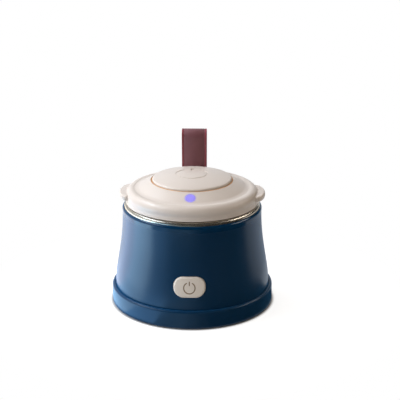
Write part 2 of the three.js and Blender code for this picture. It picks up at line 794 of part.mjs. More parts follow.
// Where the lens stands on the band, and its tilt.
const lensCircle = creaseRadius - lensShare * (creaseRadius - bandInner);
const lensSurface = shoulderTop + (creaseRadius - lensCircle) * Math.tan(bandAngle);

function lensHole() {
  const hole = rod(lensRadius + pinFit, -bandWall - overrun, overrun);
  const face = rod(lensRadius + lensFlange + fit, -lensLength, -bandWall);
  return geometryOf(join(hole, face)).rotateX(bandAngle).translate(0, -lensCircle, lensSurface);
}

// A clear lens whose stem leads light up from the board.
function indicatorLens() {
  const low = -bandWall - fit;
  return turned([
    [0, -lensLength], [lensPipe, -lensLength], [lensPipe, low - lensFlange],
    [lensRadius + lensFlange, low - lensFlange], [lensRadius + lensFlange, low],
    [lensRadius, low], [lensRadius, 0], [lensRadius * 2 / 3, lensCrown * 3 / 4], [0, lensCrown],
  ], smallSteps);
}

// The pressed centre: a shallow dome with a snap-in guide ring and a stem.
function lidDome() {
  const capAt = (inset, r) => crownZ - capSphere + Math.sqrt((capSphere - inset) ** 2 - r ** 2);
  const capLine = (inset, from, to, steps) => Array.from({ length: steps + 1 }, (_, i) => {
    const r = from + (to - from) * i / steps;
    return [r, capAt(inset, r)];
  });
  const snapTop = ledgeLow - fit;
  const dome = turned([
    ...capLine(domeWall, 0, guideRadius - guideWall, 2),
    [guideRadius - guideWall, snapTop - snapHeight],
    [guideRadius + snapReach - snapHeight / 2, snapTop - snapHeight],
    [guideRadius + snapReach, snapTop],
    [guideRadius, snapTop],
    [guideRadius, domeLow],
    [domeRadius, domeLow],
    ...arc(capRadius, domeEdgeZ, domeEdge, 0, 80, 2),
    ...capLine(0, capRadius, 0, capSteps),
  ], roundSteps);
  const slotLow = snapTop - snapHeight - overrun;
  const slots = around(snapSlots).map((angle) => (
    block(snapReach + guideWall + 2 * overrun, slotWidth, slotLow, ledgeTop)
      .translate(guideRadius, 0, 0).rotateZ(angle)
  ));
  return join(cut(dome, ...slots), rod(domeStem, domeStemZ, crownZ - domeWall / 2, tinySteps));
}

// The plug under the lid: window seat in its floor, seal groove round it, bosses and pillars inside.
const lidScrewZ = lidScrewHeadHeight + fit - plugDepth;

function lidLiner() {
  const flangeTop = linerFlange - plugDepth;
  const wallInner = linerWallRadius - linerWall;
  const collarLow = -collarHeight / 2;
  const rest = lampBoardZ - fit;
  const body = turned([
    [windowRadius - windowLedge, -plugDepth],
    ...arc(plugRadius - plugEdge, plugEdge - plugDepth, plugEdge, -90, 0, 1),
    [plugRadius, flangeTop],
    [linerWallRadius, flangeTop],
    [linerWallRadius, collarLow],
    [collarRadius, collarLow],
    [collarRadius, -collarLow],
    [wallInner, -collarLow],
    [wallInner, linerTop],
    [lampBoardRadius, linerTop],
    [lampBoardRadius, rest],
    [lampBoardRadius - lampRest, rest],
    [lampBoardRadius - lampRest, linerTop],
    [windowRadius + fit, linerTop],
    [windowRadius + fit, windowRest - plugDepth],
    [windowRadius - windowLedge, windowRest - plugDepth],
  ], middleSteps);
  const bossTop = -skirtWall / 2;
  const bosses = lidScrewSpots.map((at) => moved(rod(lidBossRadius, linerTop - bite, bossTop, tinySteps), at));
  const pillars = around(pillarCount, Math.PI / 4).map((angle) => (
    moved(rod(pillarRadius, linerTop - bite, lidBoardZ - fit, tinySteps), spot(pillarCircle, angle))
  ));
  const rooms = lidScrewSpots.map((at) => moved(rod(lidPostRadius + fit, bossTop, collarHeight, tinySteps), at));
  const sinks = lidScrewSpots.map((at) => (
    moved(rod(lidScrewHead + fit, -plugDepth - overrun, lidScrewZ + fit, tinySteps), at)
  ));
  const holes = lidScrewSpots.map((at) => moved(rod(lidScrewShank + fit, -plugDepth, 0, tinySteps), at));
  return cut(join(body, ...bosses, ...pillars), ...rooms, ...sinks, ...holes);
}

function lidBoard() {
  return join(
    rod(lidBoardRadius, lidBoardZ, lidBoardTop, middleSteps),
    ...boardParts(lidPartShares, lidBoardRadius, lidBoardTop, lidPartsHeight),
  );
}

// The strap: a band that runs round its pin and back over a round top, drawn about the pin.
function strapLoop() {
  const rise = strapTop - lidZ - pinHeight - strapTopRadius;
  const span = Math.hypot(rise, strapLean);
  // the loop is a belt round two circles; its straight runs are their common tangents
  const beltOutline = (Path, low, high) => {
    const lean = Math.atan2(strapLean, rise);
    const swell = Math.asin((high - low) / span);
    const path = new Path();
    path.absarc(-strapLean, rise, high, lean - swell, Math.PI + lean + swell);
    path.absarc(0, 0, low, Math.PI + lean + swell, 2 * Math.PI + lean - swell);
    path.closePath();
    return path;
  };
  const inner = pinRadius + fit;
  const outline = beltOutline(THREE.Shape, inner + strapThickness, strapTopRadius);
  outline.holes.push(beltOutline(THREE.Path, inner, strapTopRadius - strapThickness));
  const band = new THREE.ExtrudeGeometry(outline, {
    depth: strapWidth, curveSegments: 2 * cornerSteps, bevelEnabled: false,
  });
  return band.translate(0, 0, -strapWidth / 2).rotateX(Math.PI / 2).rotateZ(Math.PI / 2);
}

function buildBase() {
  const base = new THREE.Group();
  piece(base, 'base_tray', baseTray(), 'navy');
  footSpots.forEach(([x, y], i) => piece(base, `foot_${i + 1}`, foot(), 'rubber', [x, y, 0]));
  const screwZ = footProud + screwSink + screwHeadHeight;
  screwSpots.forEach(([x, y], i) => {
    const shape = screw(screwHead, screwHeadHeight, screwShank, screwLength);
    piece(base, `base_screw_${i + 1}`, shape, 'steel', [x, y, screwZ]);
  });
  piece(base, 'outer_shell', outerShell(), 'navy');
  return base;
}

function buildHeater() {
  const heater = new THREE.Group();
  piece(heater, 'steel_cup', steelCup(), 'steel');
  const gasketLow = shelfZ + fit;
  piece(heater, 'cup_gasket', ringOf(shelfInner, rimOuter, gasketLow, gasketLow + gasketHeight), 'silicone');
  const plate = rod(plateRadius, plateZ, plateZ + plateThickness, middleSteps);
  piece(heater, 'heater_plate', plate, 'aluminium');
  piece(heater, 'heater_element', heaterElement(), 'film');
  piece(heater, 'insulation_pad', ringOf(sensorRadius + fit, padRadius, padZ, padZ + padThickness), 'felt');
  const sensorTop = plateZ - fit;
  piece(heater, 'temperature_sensor', rod(sensorRadius, sensorTop - sensorLength, sensorTop, tinySteps), 'black');
  piece(heater, 'heater_carrier', heaterCarrier(), 'black');
  return heater;
}

function buildBattery() {
  const battery = new THREE.Group();
  piece(battery, 'cell_tray', cellTray(), 'black');
  cellRows.forEach((y, i) => piece(battery, `cell_${i + 1}`, cell(), 'cell', [0, y, cellZ]));
  const linkX = cellLength / 2 + fit + linkThickness / 2;
  [-1, 1].forEach((side, i) => {
    const strip = block(linkThickness, linkLength, 0, linkHeight);
    piece(battery, `cell_link_${i + 1}`, strip, 'nickel', [side * linkX, 0, linkLow]);
  });
  piece(battery, 'control_board', controlBoard(), 'board');
  piece(battery, 'charge_socket', chargeSocket(), 'nickel');
  return battery;
}

function buildStartButton() {
  const start = new THREE.Group();
  piece(start, 'start_button', startButton(), 'button');
  const board = block(buttonBoardWidth, 2 * buttonBoardHalf, buttonBoardBack, buttonBoardFront);
  piece(start, 'button_board', frontward(board, buttonMiddle), 'board');
  const low = buttonBoardFront + fit;
  const shape = tactSwitch(switchSide, low, switchFront, plungerRadius + fit, switchDepth - fit);
  piece(start, 'button_switch', frontward(geometryOf(shape), buttonMiddle), 'black');
  const end = stemEnd - fit;
  const plunger = frontward(rod(plungerRadius, end - plungerLength, end, tinySteps), buttonMiddle);
  piece(start, 'button_plunger', plunger, 'cream');
  return start;
}

function buildLamp() {
  const lamp = new THREE.Group();
  piece(lamp, 'lid_liner', lidLiner(), 'cream');
  const sealInner = linerWallRadius + fit;
  const sealLow = linerFlange - plugDepth + fit;
  piece(lamp, 'lid_seal', ringOf(sealInner, sealOuter, sealLow, -collarHeight / 2 - fit), 'silicone');
  piece(lamp, 'uv_window', rod(windowRadius, windowZ, windowZ + windowThickness, middleSteps), 'quartz');
  around(lampCount, Math.PI / 2).forEach((angle, i) => {
    const [x, y] = spot(lampCircle, angle);
    piece(lamp, `uv_led_${i + 1}`, block(lampSide, lampSide, 0, lampHeight), 'lamp', [x, y, lampZ]);
  });
  const lampBoard = rod(lampBoardRadius, lampBoardZ, lampBoardZ + lampBoardThickness, middleSteps);
  piece(lamp, 'uv_board', lampBoard, 'aluminium');
  const pouch = roundedRectangle(lidCellWidth, lidCellDepth, lidCellRound);
  piece(lamp, 'lid_cell', prism(pouch, lidCellZ, lidCellZ + lidCellHeight), 'nickel');
  piece(lamp, 'lid_board', lidBoard(), 'board');
  const boreDepth = lidSwitchTop - lidPlungerZ + domeTravel + fit;
  const lidSwitch = tactSwitch(switchSide, lidSwitchZ, lidSwitchTop, lidPlungerRadius + fit, boreDepth);
  piece(lamp, 'lid_switch', lidSwitch, 'black');
  const plunger = rod(lidPlungerRadius, lidPlungerZ, lidPlungerZ + lidPlungerLength, tinySteps);
  piece(lamp, 'lid_plunger', plunger, 'cream');
  lidScrewSpots.forEach(([x, y], i) => {
    const shape = screw(lidScrewHead, lidScrewHeadHeight, lidScrewShank, lidScrewLength);
    piece(lamp, `lid_screw_${i + 1}`, shape, 'steel', [x, y, lidScrewZ]);
  });
  return lamp;
}

function buildLid() {
  const lid = new THREE.Group();
  lid.position.z = lidZ;
  piece(lid, 'lid_shell', lidShell(), 'cream');
  const ringLow = ledgeTop + fit;
  const ring = ringOf(domeRadius + seamFit, domeRadius + seamFit + accentWidth, ringLow, bandTop, roundSteps);
  piece(lid, 'accent_ring', ring, 'gold');
  piece(lid, 'lid_button', lidDome(), 'cream');
  const lens = new THREE.Group();
  lens.position.set(0, -lensCircle, lensSurface);
  lens.rotation.x = bandAngle;
  piece(lens, 'led_lens', indicatorLens(), 'lens');
  lid.add(lens);
  lid.add(buildLamp());
  piece(lid, 'strap_pin', strapPinRod(), 'steel');
  piece(lid, 'strap', strapLoop(), 'leather', [0, pinY, pinHeight]);
  return lid;
}

const group = new THREE.Group();
group.add(buildBase(), buildHeater(), buildBattery(), buildStartButton(), buildLid());

export default group;
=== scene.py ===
# Portable bottle warmer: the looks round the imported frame. Sizes are in millimetres, except in the studio.
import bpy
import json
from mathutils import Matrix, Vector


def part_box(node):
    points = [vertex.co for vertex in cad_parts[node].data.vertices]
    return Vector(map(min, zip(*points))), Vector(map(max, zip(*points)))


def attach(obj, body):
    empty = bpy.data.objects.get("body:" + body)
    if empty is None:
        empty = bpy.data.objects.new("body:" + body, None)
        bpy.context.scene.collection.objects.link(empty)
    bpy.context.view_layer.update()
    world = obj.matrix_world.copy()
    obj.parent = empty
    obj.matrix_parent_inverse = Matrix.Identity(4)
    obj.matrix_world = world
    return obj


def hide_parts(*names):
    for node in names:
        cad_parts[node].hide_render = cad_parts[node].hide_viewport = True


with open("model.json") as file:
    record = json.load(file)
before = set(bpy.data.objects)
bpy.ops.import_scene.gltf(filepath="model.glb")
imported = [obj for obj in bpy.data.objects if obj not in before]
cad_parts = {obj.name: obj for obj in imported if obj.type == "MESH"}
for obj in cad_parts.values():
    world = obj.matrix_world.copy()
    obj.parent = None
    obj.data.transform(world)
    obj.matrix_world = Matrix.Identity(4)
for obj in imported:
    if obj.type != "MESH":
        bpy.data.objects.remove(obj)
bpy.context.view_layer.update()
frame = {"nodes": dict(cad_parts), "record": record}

import json
import math

import bmesh
import bpy
from mathutils import Euler, Matrix, Vector
from mathutils.geometry import interpolate_bezier

mm = 0.001
past = 1.0                                          # how far a cutting shape reaches past what it cuts
shy = 0.01                                          # keeps two rounds from meeting in one line
fullTurn = 2 * math.pi
sideways = Matrix.Rotation(math.pi / 2, 4, "Y")     # an upright rod laid along X
scene = bpy.context.scene
nodes = frame["nodes"]
print("frame loaded:", len(nodes), "nodes")

# Camera: fitted to the ellipses of the base ring, the lip and the lid
cameraLook = {
    "lens": 99.0,
    "sensor": 36,
    "distance": 729.9,
    "target": (0, 0, 69.13),
    "azimuth": 2.1,
    "elevation": 18.483,
    "aimRight": 5.25,           # it looks this far past the axis
}


def makeCamera(look):
    azimuth, elevation = math.radians(look["azimuth"]), math.radians(look["elevation"])
    back = Vector((
        math.sin(azimuth) * math.cos(elevation), -math.cos(azimuth) * math.cos(elevation), math.sin(elevation),
    ))
    right = Vector((math.cos(azimuth), math.sin(azimuth), 0))
    target = Vector(look["target"]) * mm
    data = bpy.data.cameras.new("camera")
    data.lens, data.sensor_width = look["lens"], look["sensor"]
    camera = bpy.data.objects.new("camera", data)
    camera.location = target + back * look["distance"] * mm
    aim = target + right * look["aimRight"] * mm
    camera.rotation_euler = (aim - camera.location).to_track_quat("-Z", "Y").to_euler()
    scene.collection.objects.link(camera)
    scene.camera = camera


makeCamera(cameraLook)
scene.view_settings.view_transform = "Standard"
print("camera placed")


# Shapes

def arc(r, z, radius, start, end, steps):
    # points of a round corner in a profile, angles in degrees
    turns = [math.radians(start + (end - start) * i / steps) for i in range(steps + 1)]
    return [(r + radius * math.cos(turn), z + radius * math.sin(turn)) for turn in turns]


def curved(knots, points):
    # a curve from the first of four knots to the last, drawn by the two between them
    return [(p.x, p.y) for p in interpolate_bezier(*[Vector((r, z, 0)) for r, z in knots], points)]


def spun(profile, steps=192):
    # a profile of radius and height turned about Z; one that leaves the axis is closed on itself
    bm = bmesh.new()
    points = [bm.verts.new((r * mm, 0, z * mm)) for r, z in profile]
    lines = [bm.edges.new(pair) for pair in zip(points, points[1:])]
    if profile[0][0] > 0:
        lines.append(bm.edges.new((points[-1], points[0])))
    bmesh.ops.spin(
        bm, geom=points + lines, cent=(0, 0, 0), axis=(0, 0, 1), angle=fullTurn, steps=steps, use_merge=True,
    )
    bmesh.ops.remove_doubles(bm, verts=bm.verts[:], dist=1e-7)
    bmesh.ops.recalc_face_normals(bm, faces=bm.faces[:])
    return bm


def block(size, centre=(0, 0, 0)):
    bm = bmesh.new()
    bmesh.ops.create_cube(bm, size=mm)
    bmesh.ops.scale(bm, vec=size, verts=bm.verts[:])
    bmesh.ops.translate(bm, vec=Vector(centre) * mm, verts=bm.verts[:])
    return bm


def rod(radius, low, high, segments=48, tip=None):
    bm = bmesh.new()
    bmesh.ops.create_cone(
        bm, cap_ends=True, segments=segments, radius1=radius * mm,
        radius2=(radius if tip is None else tip) * mm, depth=(high - low) * mm,
    )
    bmesh.ops.translate(bm, vec=(0, 0, (low + high) / 2 * mm), verts=bm.verts[:])
    return bm


def moved(bm, vec):
    bmesh.ops.translate(bm, vec=Vector(vec) * mm, verts=bm.verts[:])
    return bm


def turned(bm, matrix):
    bmesh.ops.transform(bm, matrix=matrix, verts=bm.verts[:])
    return bm


def edgesAlong(bm, axis, wanted=lambda middle: True):
    # the straight edges parallel to X, Y or Z (0, 1 or 2) whose middle is wanted
    found = []
    for edge in bm.edges:
        first, last = (corner.co for corner in edge.verts)
        if abs((last - first).normalized()[axis]) > 0.999 and wanted((first + last) / 2 / mm):
            found.append(edge)
    return found


def sharpEdges(bm, degrees, wanted=lambda middle: True):
    # the edges that turn by more than the degrees and whose middle is wanted
    return [
        edge for edge in bm.edges
        if edge.is_manifold and edge.calc_face_angle() > math.radians(degrees)
        and wanted((edge.verts[0].co + edge.verts[1].co) / 2 / mm)
    ]


def bevel(bm, edges, width, segments):
    bmesh.ops.bevel(
        bm, geom=edges, offset=width * mm, affect="EDGES", segments=segments, profile=0.5, material=-1,
        clamp_overlap=True,
    )
    return bm


def slicedAt(bm, axis, places):
    normal = Vector((0, 0, 0))
    normal[axis] = 1
    for place in places:
        bmesh.ops.bisect_plane(
            bm, geom=bm.verts[:] + bm.edges[:] + bm.faces[:], dist=1e-6,
            plane_co=normal * place * mm, plane_no=normal,
        )


def sliced(bm, slices):
    # edges right across, so that large flat faces can follow a curve; each is an axis, half the width, a step
    for axis, half, step in slices:
        slicedAt(bm, axis, [i * step - half for i in range(1, round(2 * half / step))])


def asPiece(bm, name, *materials):
    mesh = bpy.data.meshes.new(name)
    bm.to_mesh(mesh)
    bm.free()
    for material in materials:
        mesh.materials.append(material)
    piece = bpy.data.objects.new(name, mesh)
    scene.collection.objects.link(piece)
    return piece


def combined(piece, bm, operation="DIFFERENCE", paint=None):
    # joins a second shape to a piece or cuts it away; paint is the finish of the cut's faces
    tool = asPiece(bm, "tool", *([paint] if paint else []))
    modifier = piece.modifiers.new("tool", "BOOLEAN")
    modifier.operation, modifier.solver, modifier.object = operation, "EXACT", tool
    modifier.material_mode = "TRANSFER" if paint else "INDEX"
    result = bpy.data.meshes.new_from_object(piece.evaluated_get(bpy.context.evaluated_depsgraph_get()))
    piece.modifiers.clear()
    piece.data = result
    bpy.data.objects.remove(tool)
    return piece


def reshaped(piece, change):
    # runs a bmesh step on a piece that is already an object
    bm = bmesh.new()
    bm.from_mesh(piece.data)
    change(bm)
    bm.to_mesh(piece.data)
    bm.free()


def takenApart(piece):
    # back from an object to a loose shape that others can be built with
    bm = bmesh.new()
    bm.from_mesh(piece.data)
    bpy.data.objects.remove(piece)
    return bm


def finished(piece, body, slotName, replaced, crease=35):
    # smooth, with its finish, and in place of the frame's node
    mesh = piece.data
    if not mesh.materials:
        mesh.materials.append(finishes[slotName])
    for face in mesh.polygons:
        face.use_smooth = True
    mesh.set_sharp_from_angle(angle=math.radians(crease))
    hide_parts(*replaced)
    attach(piece, body)


def middleOf(node):
    low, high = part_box(node)
    return (Vector(low) + Vector(high)) / 2 / mm


def onAxis(piece, node, radius, low, high, operation="DIFFERENCE", segments=48):
    # an upright rod through a node's middle, cut out of the piece or joined to it
    x, y, z = middleOf(node)
    combined(piece, moved(rod(radius, low, high, segments), (x, y, 0)), operation)


def screwPost(piece, look, node):
    # a post, room for the screw's head under it and the hole through it
    onAxis(piece, node, look["boss"], look["bossLow"], look["bossTop"], "UNION")
    onAxis(piece, node, look["sink"], look["low"] - past, look["sinkTop"])
    onAxis(piece, node, look["hole"], look["low"], look["bossTop"] + past)


# Finishes

def linearColour(hexColour):
    channels = [int(hexColour[i:i + 2], 16) / 255 for i in (1, 3, 5)]
    return [c / 12.92 if c <= 0.04045 else ((c + 0.055) / 1.055) ** 2.4 for c in channels] + [1.0]


def addNode(tree, kind, settings=None, links=None):
    node = tree.nodes.new(kind)
    for name, value in (settings or {}).items():
        if isinstance(name, int) or name in node.inputs:
            node.inputs[name].default_value = value
        else:
            setattr(node, name, value)
    for name, source in (links or {}).items():
        tree.links.new(source, node.inputs[name])
    return node


def addMath(tree, operation, first, second):
    return addNode(tree, "ShaderNodeMath", {"operation": operation}, {0: first, 1: second}).outputs[0]


def addFade(tree, value, start, end, first=0.0, last=1.0, kind="SMOOTHSTEP"):
    # goes from the first number to the last while the value goes from start to end
    return addNode(
        tree, "ShaderNodeMapRange",
        {"From Min": start, "From Max": end, "To Min": first, "To Max": last, "interpolation_type": kind},
        {"Value": value},
    ).outputs["Result"]


def emptied(owner):
    # the node tree of a material or a world, without any node
    owner.use_nodes = True
    owner.node_tree.nodes.clear()
    return owner.node_tree


def startMaterial(name, settings):
    material = bpy.data.materials.new(name)
    tree = emptied(material)
    shader = addNode(tree, "ShaderNodeBsdfPrincipled", settings)
    addNode(tree, "ShaderNodeOutputMaterial", links={"Surface": shader.outputs["BSDF"]})
    place = addNode(tree, "ShaderNodeTexCoord").outputs["Object"]
    return material, tree, shader, place


def addNoise(tree, size, place, settings=None):
    # its marks are about as large as the size
    return addNode(
        tree, "ShaderNodeTexNoise", {"Scale": 1 / (size * mm), **(settings or {})}, {"Vector": place},
    ).outputs["Fac"]


def addColour(tree, look, pattern, socket):
    # the look's two colours, mixed by a pattern
    colour = addNode(
        tree, "ShaderNodeMix",
        {"data_type": "RGBA", 6: linearColour(look["colour"]), 7: linearColour(look["second"])}, {0: pattern},
    )
    tree.links.new(colour.outputs[2], socket)


def addBump(tree, look, pattern, shader, strength=1.0):
    bump = addNode(
        tree, "ShaderNodeBump", {"Strength": strength, "Distance": look["depth"] * mm}, {"Height": pattern},
    )
    tree.links.new(bump.outputs["Normal"], shader.inputs["Normal"])


def addRoughness(tree, pattern, low, high, shader):
    # most of a noise lies between 0.3 and 0.7
    tree.links.new(addFade(tree, pattern, 0.3, 0.7, low, high, "LINEAR"), shader.inputs["Roughness"])


def speckled(name, look, settings=None):
    # two close colours in slow patches, a fine grain in the surface, and a roughness that drifts with it
    material, tree, shader, place = startMaterial(name, {"Roughness": look["roughness"], **(settings or {})})
    addColour(tree, look, addNoise(tree, look["patch"], place, {"Detail": 3}), shader.inputs["Base Color"])
    grain = addNoise(tree, look["grain"], place, {"Detail": 4, "Roughness": 0.6})
    addBump(tree, look, grain, shader)
    middle, spread = look["roughness"], look["spread"]
    addRoughness(tree, grain, middle - spread, middle + spread, shader)
    return material


def polishedAbove(material, look):
    # smoother over a height, as where a lip is rubbed by the lid and the hand; share is what is left of the roughness
    tree = material.node_tree
    shader = tree.nodes["Principled BSDF"]
    parts = addNode(
        tree, "ShaderNodeSeparateXYZ", links={"Vector": addNode(tree, "ShaderNodeTexCoord").outputs["Object"]},
    )
    share = addFade(tree, parts.outputs["Z"], look["from"] * mm, look["to"] * mm, 1.0, look["share"])
    rough = addMath(tree, "MULTIPLY", shader.inputs["Roughness"].links[0].from_socket, share)
    tree.links.new(rough, shader.inputs["Roughness"])
    return material


def withPaintedLampGlow(material, look):
    # painted glow: the plastic round a lamp gets a little of the lamp's colour mixed into its base colour, fading out
    # with distance, where the lamp's light would bleed into it
    tree = material.node_tree
    shader = tree.nodes["Principled BSDF"]
    away = addNode(
        tree, "ShaderNodeVectorMath", {"operation": "DISTANCE", 1: Vector(look["centre"]) * mm},
        {0: addNode(tree, "ShaderNodeTexCoord").outputs["Object"]},
    )
    start, end = look["from"] * mm, look["to"] * mm
    near = addFade(tree, away.outputs["Value"], start, end, 1.0, 0.0, "SMOOTHERSTEP")
    colour = addNode(
        tree, "ShaderNodeMix", {"data_type": "RGBA", 7: linearColour(look["colour"])},
        {0: near, 6: shader.inputs["Base Color"].links[0].from_socket},
    )
    tree.links.new(colour.outputs[2], shader.inputs["Base Color"])
    return material


finishes = {}

# soft-touch ABS, moulded: a blue satin bloom on the lit side, almost black in the shade, its lip polished
finishes["navy_plastic"] = polishedAbove(speckled("softTouchNavyAbs", {
    "colour": "#012c4b", "second": "#012845", "patch": 30, "grain": 0.35, "depth": 0.004,
    "roughness": 0.31, "spread": 0.03,
}, {"IOR": 1.5, "Sheen Weight": 0.7, "Sheen Roughness": 0.5, "Sheen Tint": linearColour("#3f8fd6")}),
    {"from": 61.8, "to": 63.2, "share": 0.5})

# cream ABS from a lightly sparked mould: warm, with a broad soft highlight on the round edges and a painted violet
# glow round the lens
finishes["cream_plastic"] = withPaintedLampGlow(speckled("creamAbs", {
    "colour": "#dad0c7", "second": "#d6cbc2", "patch": 25, "grain": 0.3, "depth": 0.003,
    "roughness": 0.3, "spread": 0.03,
}, {"IOR": 1.5}), {"centre": (0, -31.8, 81.05), "from": 2.6, "to": 4.6, "colour": "#b3a8f0"})

# the same plastic a shade paler and duller, for the keys
finishes["warm_grey_plastic"] = speckled("warmGreyAbs", {
    "colour": "#e8dfd4", "second": "#e4dacf", "patch": 12, "grain": 0.3, "depth": 0.003,
    "roughness": 0.45, "spread": 0.03,
}, {"IOR": 1.5})

# pad-printed ink in the engraved signs: taupe, without gloss
signInk = speckled("taupeInk", {
    "colour": "#a08a72", "second": "#98836b", "patch": 3, "grain": 0.2, "depth": 0.002,
    "roughness": 0.6, "spread": 0.04,
})

# glass-filled nylon: dull black with a faint mottle
finishes["black_plastic"] = speckled("glassFilledNylon", {
    "colour": "#1b1b1d", "second": "#242426", "patch": 4, "grain": 0.4, "depth": 0.01,
    "roughness": 0.62, "spread": 0.06,
})

# moulded rubber: dull, dusty, a coarse grain
finishes["black_rubber"] = speckled("mouldedRubber", {
    "colour": "#202223", "second": "#2d2f30", "patch": 5, "grain": 0.5, "depth": 0.02,
    "roughness": 0.85, "spread": 0.05,
})

# platinum silicone: milky, slightly waxy
finishes["silicone"] = speckled("milkySilicone", {
    "colour": "#dcd9d2", "second": "#d2cfc7", "patch": 6, "grain": 0.6, "depth": 0.006,
    "roughness": 0.55, "spread": 0.05,
}, {"Transmission Weight": 0.15, "IOR": 1.41})

# polyimide film: amber, glossy, the etched track dark under it
finishes["heater_film"] = speckled("polyimideFilm", {
    "colour": "#b8691c", "second": "#7d430f", "patch": 3, "grain": 0.8, "depth": 0.004,
    "roughness": 0.3, "spread": 0.05,
}, {"IOR": 1.7})

# needled ceramic fibre: off-white fluff without any gloss
finishes["insulation_felt"] = speckled("needledFelt", {
    "colour": "#e4dfd2", "second": "#cfc8b8", "patch": 2, "grain": 0.5, "depth": 0.15,
    "roughness": 0.95, "spread": 0.04,
}, {"Sheen Weight": 0.4})

# printed shrink film round a cell: blue, with a half gloss
finishes["cell_wrap"] = speckled("shrinkWrap", {
    "colour": "#2b5f9e", "second": "#25548f", "patch": 12, "grain": 1.5, "depth": 0.01,
    "roughness": 0.35, "spread": 0.04,
})

# solder mask over copper: green, with the tracks showing as a paler maze
finishes["circuit_board"] = speckled("solderMask", {
    "colour": "#0f4a2b", "second": "#2b7a4b", "patch": 2.5, "grain": 1.2, "depth": 0.02,
    "roughness": 0.4, "spread": 0.06,
})

# ceramic lamp package with a pale yellow fill
finishes["led_package"] = speckled("lampCeramic", {
    "colour": "#ece7d2", "second": "#ded7bc", "patch": 2, "grain": 0.3, "depth": 0.003,
    "roughness": 0.4, "spread": 0.05,
})


def drawnMetal(name, look):
    # fine rings left by spinning or rolling, broken up along their run, with a gloss that varies from ring to ring
    material, tree, shader, place = startMaterial(name, {
        "Metallic": look["metal"], "Base Color": linearColour(look["colour"]), "Roughness": look["roughness"],
        "Anisotropic": look["stretch"],
    })
    parts = addNode(tree, "ShaderNodeSeparateXYZ", links={"Vector": place})
    turn = addMath(tree, "ARCTAN2", parts.outputs["Y"], parts.outputs["X"])
    flat = addNode(tree, "ShaderNodeCombineXYZ", links={"X": parts.outputs["X"], "Y": parts.outputs["Y"]})
    reach = addNode(tree, "ShaderNodeVectorMath", {"operation": "LENGTH"}, {0: flat.outputs["Vector"]})
    run = addNode(tree, "ShaderNodeMath", {"operation": "MULTIPLY", 1: look["run"] * mm}, {0: turn})
    polar = addNode(
        tree, "ShaderNodeCombineXYZ",
        links={"X": run.outputs[0], "Y": reach.outputs["Value"], "Z": parts.outputs["Z"]},
    )
    rings = addNoise(tree, look["line"], polar.outputs[0], {"Detail": 4})
    addBump(tree, look, rings, shader)
    addRoughness(tree, rings, look["roughness"] * 0.8, look["roughness"] * 1.3, shader)
    return material


# deep-drawn 304 steel, polished: sharp bright and dark bands with faint rings, dulled a little by fine scratches
finishes["steel"] = drawnMetal("drawnSteel", {
    "colour": "#d4cbbb", "metal": 0.9, "roughness": 0.24, "stretch": 0.3, "line": 0.5, "run": 0.4, "depth": 0.0006,
})

# copper lacquer on the seam ring: metal flake in a clear coat, so half of it is plain colour
finishes["copper_trim"] = drawnMetal("copperLacquer", {
    "colour": "#e2a968", "metal": 0.45, "roughness": 0.38, "stretch": 0, "line": 0.6, "run": 0.5, "depth": 0.001,
})

# nickel plate and foil: bright grey, slightly warm, a soft gloss
finishes["nickel"] = drawnMetal("nickelPlate", {
    "colour": "#b4aea3", "metal": 1.0, "roughness": 0.3, "stretch": 0, "line": 0.8, "run": 2, "depth": 0.002,
})

# rolled aluminium: grey, satin
finishes["aluminium_plate"] = drawnMetal("rolledAluminium", {
    "colour": "#c3c5c7", "metal": 1.0, "roughness": 0.38, "stretch": 0.4, "line": 0.7, "run": 0.6, "depth": 0.003,
})


def leather(name, look):
    # pressed hide grain: small cells with soft creases between them
    material, tree, shader, place = startMaterial(name, {
        "Roughness": look["roughness"], "IOR": 1.46, "Sheen Weight": 0.15, "Sheen Roughness": 0.5,
    })
    cells = addNode(
        tree, "ShaderNodeTexVoronoi", {"feature": "SMOOTH_F1", "Scale": 1 / (look["cell"] * mm), "Smoothness": 0.6},
        {"Vector": place},
    )
    addColour(tree, look, addNoise(tree, look["patch"], place, {"Detail": 5}), shader.inputs["Base Color"])
    addBump(tree, look, cells.outputs["Distance"], shader, 0.8)
    return material


# pressed burgundy leather, its cut edges sealed with a redder paint
finishes["burgundy_leather"] = leather("pressedBurgundyLeather", {
    "colour": "#78494f", "second": "#6b3f45", "patch": 6, "cell": 0.7, "depth": 0.05, "roughness": 0.55,
})
edgePaint = leather("sealedLeatherEdge", {
    "colour": "#8a3844", "second": "#7f303c", "patch": 3, "cell": 1.2, "depth": 0.02, "roughness": 0.4,
})


def litLens(name, look):
    # frosted acrylic with a lamp behind it: an even violet in two close tones
    material, tree, shader, place = startMaterial(name, {
        "Base Color": linearColour(look["body"]), "Roughness": 0.5, "IOR": 1.49,
        "Emission Strength": look["strength"],
    })
    addColour(tree, look, addNoise(tree, look["patch"], place, {"Detail": 2}), shader.inputs["Emission Color"])
    return material


finishes["violet_lens"] = litLens("litVioletAcrylic", {
    "body": "#2a2748", "colour": "#9c91fb", "second": "#a398fd", "strength": 0.95, "patch": 2,
})


def clearGlass(name, look):
    # ground and polished, its faces very slightly wavy
    material, tree, shader, place = startMaterial(name, {
        "Base Color": linearColour(look["colour"]), "Roughness": 0.03, "IOR": 1.46, "Transmission Weight": 1.0,
    })
    addBump(tree, look, addNoise(tree, look["wave"], place), shader)
    return material


# fused quartz: clear, a trace of blue at its edge
finishes["quartz"] = clearGlass("fusedQuartz", {"colour": "#eef5f8", "wave": 6, "depth": 0.0005})
print("finishes made:", len(finishes))

# Base tray: the floor and the ring that the body stands in
trayLook = {
    "ring": 53.99, "inner": 51.8, "low": 0.5, "floor": 2.7, "top": 12.3,
    "topRound": 1.5, "innerRound": 0.35, "heel": 0.6,
    "boss": 3.6, "bossLow": 1.1, "bossTop": 4.8, "sink": 2.7, "sinkTop": 2.9, "hole": 1.6,
    "footRoom": 6.3, "footRoomTop": 1.5,
}
footNodes = [f"foot_{i}" for i in range(1, 5)]
baseScrewNodes = [f"base_screw_{i}" for i in range(1, 5)]


